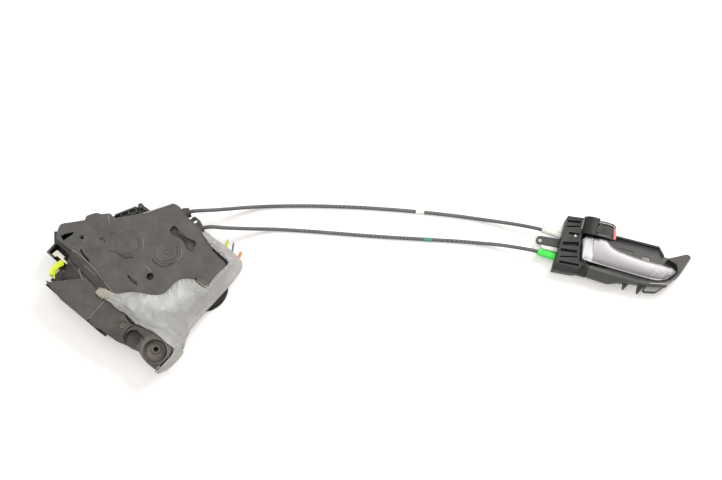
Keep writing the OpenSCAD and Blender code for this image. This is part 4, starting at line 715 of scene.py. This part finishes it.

# Handle frame and bezel: black moulded carrier with a ribbed hinge block, and the lip round the finger gap.
# The lip has a satin finish, and the light line along its bevel is painted highlight. The block above the plate is
# darkened with painted shade.
frame_black = plastic("frame_plastic", (84, 84, 83), rough=0.5, mottle=0.18, dusted=0.1)
tree = frame_black.node_tree
shader = tree.nodes["Principled BSDF"]
level = add(tree, "ShaderNodeSeparateXYZ", Vector=add(tree, "ShaderNodeTexCoord").outputs["Object"])
# Painted shade: everything above the plate's height is multiplied darker.
shade_above_plate = ramp(tree, level.outputs[2], 0.0108, 0.013)
unshaded_tone = shader.inputs["Base Color"].links[0].from_socket
feed(tree, shader, Base_Color=mix_colour(tree, shade_above_plate, unshaded_tone, (0.24, 0.24, 0.24, 1), "MULTIPLY"))
reshape("handle_frame", 0.4, frame_black)
bezel_black = plastic("bezel_plastic", (76, 75, 73), rough=0.42, mottle=0.26, dusted=0.14, spread=36.0)
reshape("handle_bezel", 0.7, bezel_black, segments=3)
# Painted highlight: a near-white line along the bezel's rim, and a line of wear and painted highlight on its inner
# edge.
moulded_lines("bezel_rim", "handle_plastic", [
    (painted_highlight_rib, 0.45, None, [(72, -18.3, 26.4), (82, -16, 27.2), (90, -14, 27.8), (94, -10.4, 28.8),
                              (97.3, -6.9, 30.2), (100.8, 1.2, 31.7), (104, 11, 33), (106.2, 18.4, 34)]),
    (wear_and_highlight_edge, 0.35, None, [(88, 14.9, 27.7), (92, 16.9, 28), (98, 20, 30.4), (101.6, 21.8, 32),
                             (104.2, 21.2, 33.1)]),
], place=handle_place)
# Lighter line on the hood's edge: edge wear and painted highlight.
moulded_line("hood_edge", wear_and_highlight_edge, "handle_plastic", 0.8, [(-13.1, 29), (-13.2, 26), (-13.2, 22), (-13.1, 18.6)],
             27.1, handle_place)
pad_grey = plastic("tab_pad_plastic", (206, 204, 202), rough=0.4, mottle=0.16, dusted=0.1)
flat_shape("frame_tab_pad", [(72, -18.4), (87.4, -14.2), (88.6, -14.9), (84.2, -20.4), (82.6, -21.4), (71.8, -24.2),
                             (70.4, -23.4)], 7.9, 8.7, handle_place, pad_grey)
block_peg_profile = [(0, 20), (1.5, 20), (1.5, 25.2), (1.1, 25.6), (0, 25.6)]
dress(lathe("block_peg", block_peg_profile, handle_place @ upright(-17.5, 9.5)), fitting_white)
# Painted shade: a near-black plate under the lever fills the gaps where the table would show.
painted_shade_plate = plastic("painted_shade_plastic", (34, 34, 33), rough=0.6, mottle=0.15, dusted=0.1)
flat_shape("frame_shade_plate", [(-14, 22), (3, 22), (6, 16), (30, 10), (60, 6), (84, 8), (90, 13), (96, 11), (99, 3),
                           (98.5, -2), (93, -13), (78, -17.5), (40, -18.5), (-2, -19.5), (-10, -14)], 3, 4.4,
           handle_place, painted_shade_plate)
flat_shape("cable_retainer", [(-49.6, -6.9), (-31, -6), (-31, -10.6), (-46.8, -11.2), (-49.8, -9.6)], 8, 12.6,
           handle_place, fitting_white, width=0.8)

# Handle lever: a satin chromed cover over a zinc core, curved to a thin tip that fingers have scuffed.
# Its hinge end slopes down to the pin behind a straight crease, and its upper edge sweeps in a long curve.
# The outlines are (length, place) pairs: low and high seen from above, face and back seen from the side.
lever_low = [(-7, -12.9), (4, -14), (29, -14.1), (60, -14.1), (75.5, -13.8), (80.9, -12.9), (86, -10.4),
             (90.4, -6.4), (93, -3.6), (94.6, -1.6), (95.2, 0)]
lever_high = [(-9.6, 8), (-6.5, 11.3), (5.8, 11.8), (8, 13.3), (15.6, 13.3), (19, 11.1), (21.9, 8.5), (26.5, 6.4),
              (33, 5.2), (48.6, 3.8), (60, 3.2), (75, 3.8), (83, 4), (88, 3.9), (92, 3.2), (94.2, 2), (95.2, 0.6)]
lever_face = [(-9.4, 23.6), (-8.9, 26.6), (-7.6, 29), (-6, 30.2), (2, 32.9), (3, 33.2), (4, 33.35), (14, 33.8),
              (36, 34.1), (66, 33.8), (84, 32.4), (91, 31.2), (94, 30.2), (95, 29.6)]
lever_back = [(-9.4, 22), (-6, 19.6), (2, 19.8), (8, 22), (20, 26), (50, 27.6), (84, 27.2), (91, 26.6), (95, 25.8)]
lever_stations = [-6.9, -6.7, -6.2, -5, -3.4, -1.6, 0.4, 1.9, 2.6, 3.3, 5, 6.8, 8, 10, 12.6, 15.6, 17, 19, 21, 23.4,
                  26.5, 30, 35, 41, 48, 54, 60, 68, 75, 81, 85, 88, 90.4, 92.2, 93.6, 94.6, 95.2]
back_share = 0.985
core_top = 0.0195


def height(outline, x):
    """The outline's height over x, by straight runs between its points."""
    for (x0, y0), (x1, y1) in zip(outline, outline[1:]):
        if x <= x1:
            return y0 + (y1 - y0) * max(0, x - x0) / (x1 - x0)
    return outline[-1][1]


# A grid and its copy below it take the outlines' shape, crowned between the edges and rounded off at them
bm = bmesh.new()
bmesh.ops.create_grid(bm, x_segments=2 * len(lever_stations) - 2, y_segments=22, size=1)
face_verts = list(bm.verts)
shell = bmesh.ops.extrude_face_region(bm, geom=list(bm.faces), use_keep_orig=True)
back_verts = [g for g in shell["geom"] if isinstance(g, bmesh.types.BMVert)]
for verts, is_face in ((face_verts, True), (back_verts, False)):
    for vert in verts:
        step = (vert.co.x + 1) / 2 * (len(lever_stations) - 1)
        i = min(int(step), len(lever_stations) - 2)
        x = lever_stations[i] + (lever_stations[i + 1] - lever_stations[i]) * (step - i)
        side = vert.co.y
        x -= 2.4 * side * max(0, 1 - max(0, x + 7) / 15)
        y0, y1 = height(lever_low, x), height(lever_high, x)
        centre, reach = (y0 + y1) / 2, (y1 - y0) / 2 * side
        crown = (1.1 * side ** 2 + 1.5 * abs(side) ** 10) * min(1, max(0.35, (97 - x) / 8))
        if is_face:
            vert.co = (x, centre + reach, height(lever_face, x + 0.9 * side) - crown)
        else:
            vert.co = (x, centre + reach * back_share, height(lever_back, x))
bmesh.ops.recalc_face_normals(bm, faces=bm.faces)
chrome_lever = show_bmesh("chrome_lever", bm, 50, handle_place)
round_edges(chrome_lever, 0.6, 3, 50, harden=False)


def satin_chrome(name, tip, crease, across):
    """Satin chrome plate: near white with painted highlight before the crease, softly mottled, and scuffed and
    pitted round the tip.
    """
    material, tree, shader, place = new_material(name)
    shade, height = grained(tree, place, 2200.0, 50.0)
    reach = add(tree, "ShaderNodeVectorMath", {"operation": "DISTANCE"}, i0=place, i1=tip)
    pits = add(tree, "ShaderNodeTexNoise", Vector=place, Scale=420.0, Detail=6.0, Roughness=0.75)
    scuff = product(tree, ramp(tree, reach.outputs["Value"], 0.028, 0.004), ramp(tree, pits.outputs[0], 0.48, 0.62))
    offset = add(tree, "ShaderNodeVectorMath", {"operation": "SUBTRACT"}, i0=place, i1=crease)
    bend = add(tree, "ShaderNodeVectorMath", {"operation": "DOT_PRODUCT"}, i0=offset.outputs[0], i1=across)
    # Painted highlight: before the crease the plate is near white.
    past = ramp(tree, bend.outputs["Value"], -0.0006, 0.0006)
    plain = mix_colour(tree, shade, srgb(140, 136, 138), srgb(156, 152, 154))
    tone = mix_colour(tree, past, srgb(210, 208, 209), plain)
    pitted = bumped(tree, scuff, 0.14, 0.0003)
    feed(tree, shader, Base_Color=mix_colour(tree, scuff, tone, srgb(196, 192, 200)), Metallic=0.6,
         Roughness=ramp(tree, scuff, 0.0, 1.0, 0.46, 0.6), Normal=bumped(tree, height, 0.05, 0.0001, Normal=pitted))
    return material


chrome = satin_chrome("satin_chrome", handle_place @ Vector((86, -3, 31)), handle_place @ Vector((2.5, 0, 30)),
                      handle_place.to_quaternion() @ Vector((0.968, 0.25, 0)))
dress(chrome_lever, chrome, "handle_lever", "handle_lever")
hinge_arm = softened("handle_lever", 0.3, name="lever_core")
bm = bmesh.new()
bm.from_mesh(hinge_arm.data)
bmesh.ops.bisect_plane(bm, geom=list(bm.verts) + list(bm.edges) + list(bm.faces), plane_co=(0, 0, core_top),
                       plane_no=(0, 0, 1), clear_outer=True)
bmesh.ops.holes_fill(bm, edges=[e for e in bm.edges if e.is_boundary])
bm.to_mesh(hinge_arm.data)
bm.free()
dress(hinge_arm, metal("zinc_core", (70, 68, 66), rough=0.5), "handle_lever")
# Painted highlight: near-white beads along the lever's lower edge, round its tip and on its crease.
painted_highlight_edge = metal("painted_highlight_chrome", (236, 234, 236), rough=0.3, wear=0.0, metallic=0.4)
for name, radius, z, points in [
        ("lever_rolled_edge", 0.6, 30.6, [(-2.6, -13.5), (6.9, -14), (20.7, -14.1), (39.4, -14.2), (58.4, -14.1),
                                          (70, -14), (77.2, -13.4), (82, -12)]),
        ("lever_tip_edge", 0.45, None, [(82, -12, 29.9), (86.4, -9.8, 29.4), (90.4, -6.2, 29), (93, -3.3, 28.9),
                                        (94.5, -1, 28.9), (94.6, 0.8, 28.9), (92.4, 2.6, 29), (89, 3.5, 29.3)]),
        ("lever_crease", 0.3, 33.15, [(-0.4, 10.6), (1, 6), (2.6, 0), (4.2, -6), (5.2, -10.4)])]:
    moulded_line(name, painted_highlight_edge, "chrome", radius, points, z, handle_place, "handle_lever")

# Lock knob: a black rocker under the hood, with a dished thumb pad and a red mark on its outer end.
# It turns on the handle's own pin and pulls the upper cable.
knob_black = plastic("knob_plastic", (36, 36, 36), rough=0.34, mottle=0.1, dusted=0.1)
reshape("lock_knob", 0.8, knob_black, "lock_knob", 3)
# Painted highlight and edge wear: light lines along the knob's rims.
moulded_lines("knob_rim", "black_plastic", [
    (painted_highlight_rib, 0.5, None, [(2.6, 28.7, 35.4), (4.7, 28.9, 35.5), (9, 29.3, 35.5), (14, 29.5, 35.1),
                             (18, 28.8, 35.2), (20.8, 26.6, 35.4)]),
    (wear_and_highlight_edge, 0.35, None, [(3.9, 25.4, 35.6), (3.2, 21.8, 35.5), (3.4, 18, 35.5)]),
    (wear_and_highlight_edge, 0.4, None, [(3, 15.6, 35.2), (5.7, 15.5, 35.4), (11.8, 16, 35.1), (18, 16.6, 35.1)]),
], place=handle_place, body="lock_knob")
mark = plastic("mark_red", (252, 120, 118), rough=0.4, mottle=0.05, dusted=0.0)
reshape("knob_mark", 0.3, mark, "lock_knob", name="red_mark")

# Table top and light: a plain pale table, one large soft lamp from behind on the right and two weaker ones.
# The table shows white to the camera and keeps the soft warm shadow of the piece.
bm = bmesh.new()
bmesh.ops.create_grid(bm, x_segments=1, y_segments=1, size=3)
table_top = show_bmesh("table_top", bm, 40)
table_white = bpy.data.materials.new("table_white")
table_white.use_nodes = True
tree = table_white.node_tree
camera_ray = add(tree, "ShaderNodeLightPath").outputs["Is Camera Ray"]
feed(tree, tree.nodes["Principled BSDF"], Base_Color=srgb(236, 233, 230), Roughness=0.9, Specular_IOR_Level=0.1,
     Emission_Color=(1, 0.985, 0.965, 1), Emission_Strength=product(tree, camera_ray, 0.28))
table_top.data.materials.append(table_white)


def lamp(name, place, size, power, colour):
    """A round soft lamp that looks at the middle of the frame."""
    light = bpy.data.lights.new(name, "AREA")
    light.shape = "DISK"
    light.size = size
    light.energy = power
    light.color = colour
    holder = bpy.data.objects.new(name, light)
    holder.location = place
    holder.rotation_euler = (Vector((0, 0, 0)) - Vector(place)).to_track_quat("-Z", "Y").to_euler()
    bpy.context.collection.objects.link(holder)


lamp("key_lamp", (0.9, 0.9, 1.5), 0.9, 30, (1, 0.985, 0.96))
lamp("top_lamp", (-0.3, 0.2, 1.8), 1.4, 14, (0.98, 0.99, 1))
lamp("front_lamp", (-0.7, -1.3, 0.9), 1.2, 8, (1, 0.99, 0.98))
world = bpy.data.worlds.new("studio")
world.use_nodes = True
bpy.context.scene.world = world
feed(world.node_tree, world.node_tree.nodes["Background"], Color=(1, 1, 1, 1), Strength=0.31)
bpy.context.scene.view_settings.view_transform = "Standard"
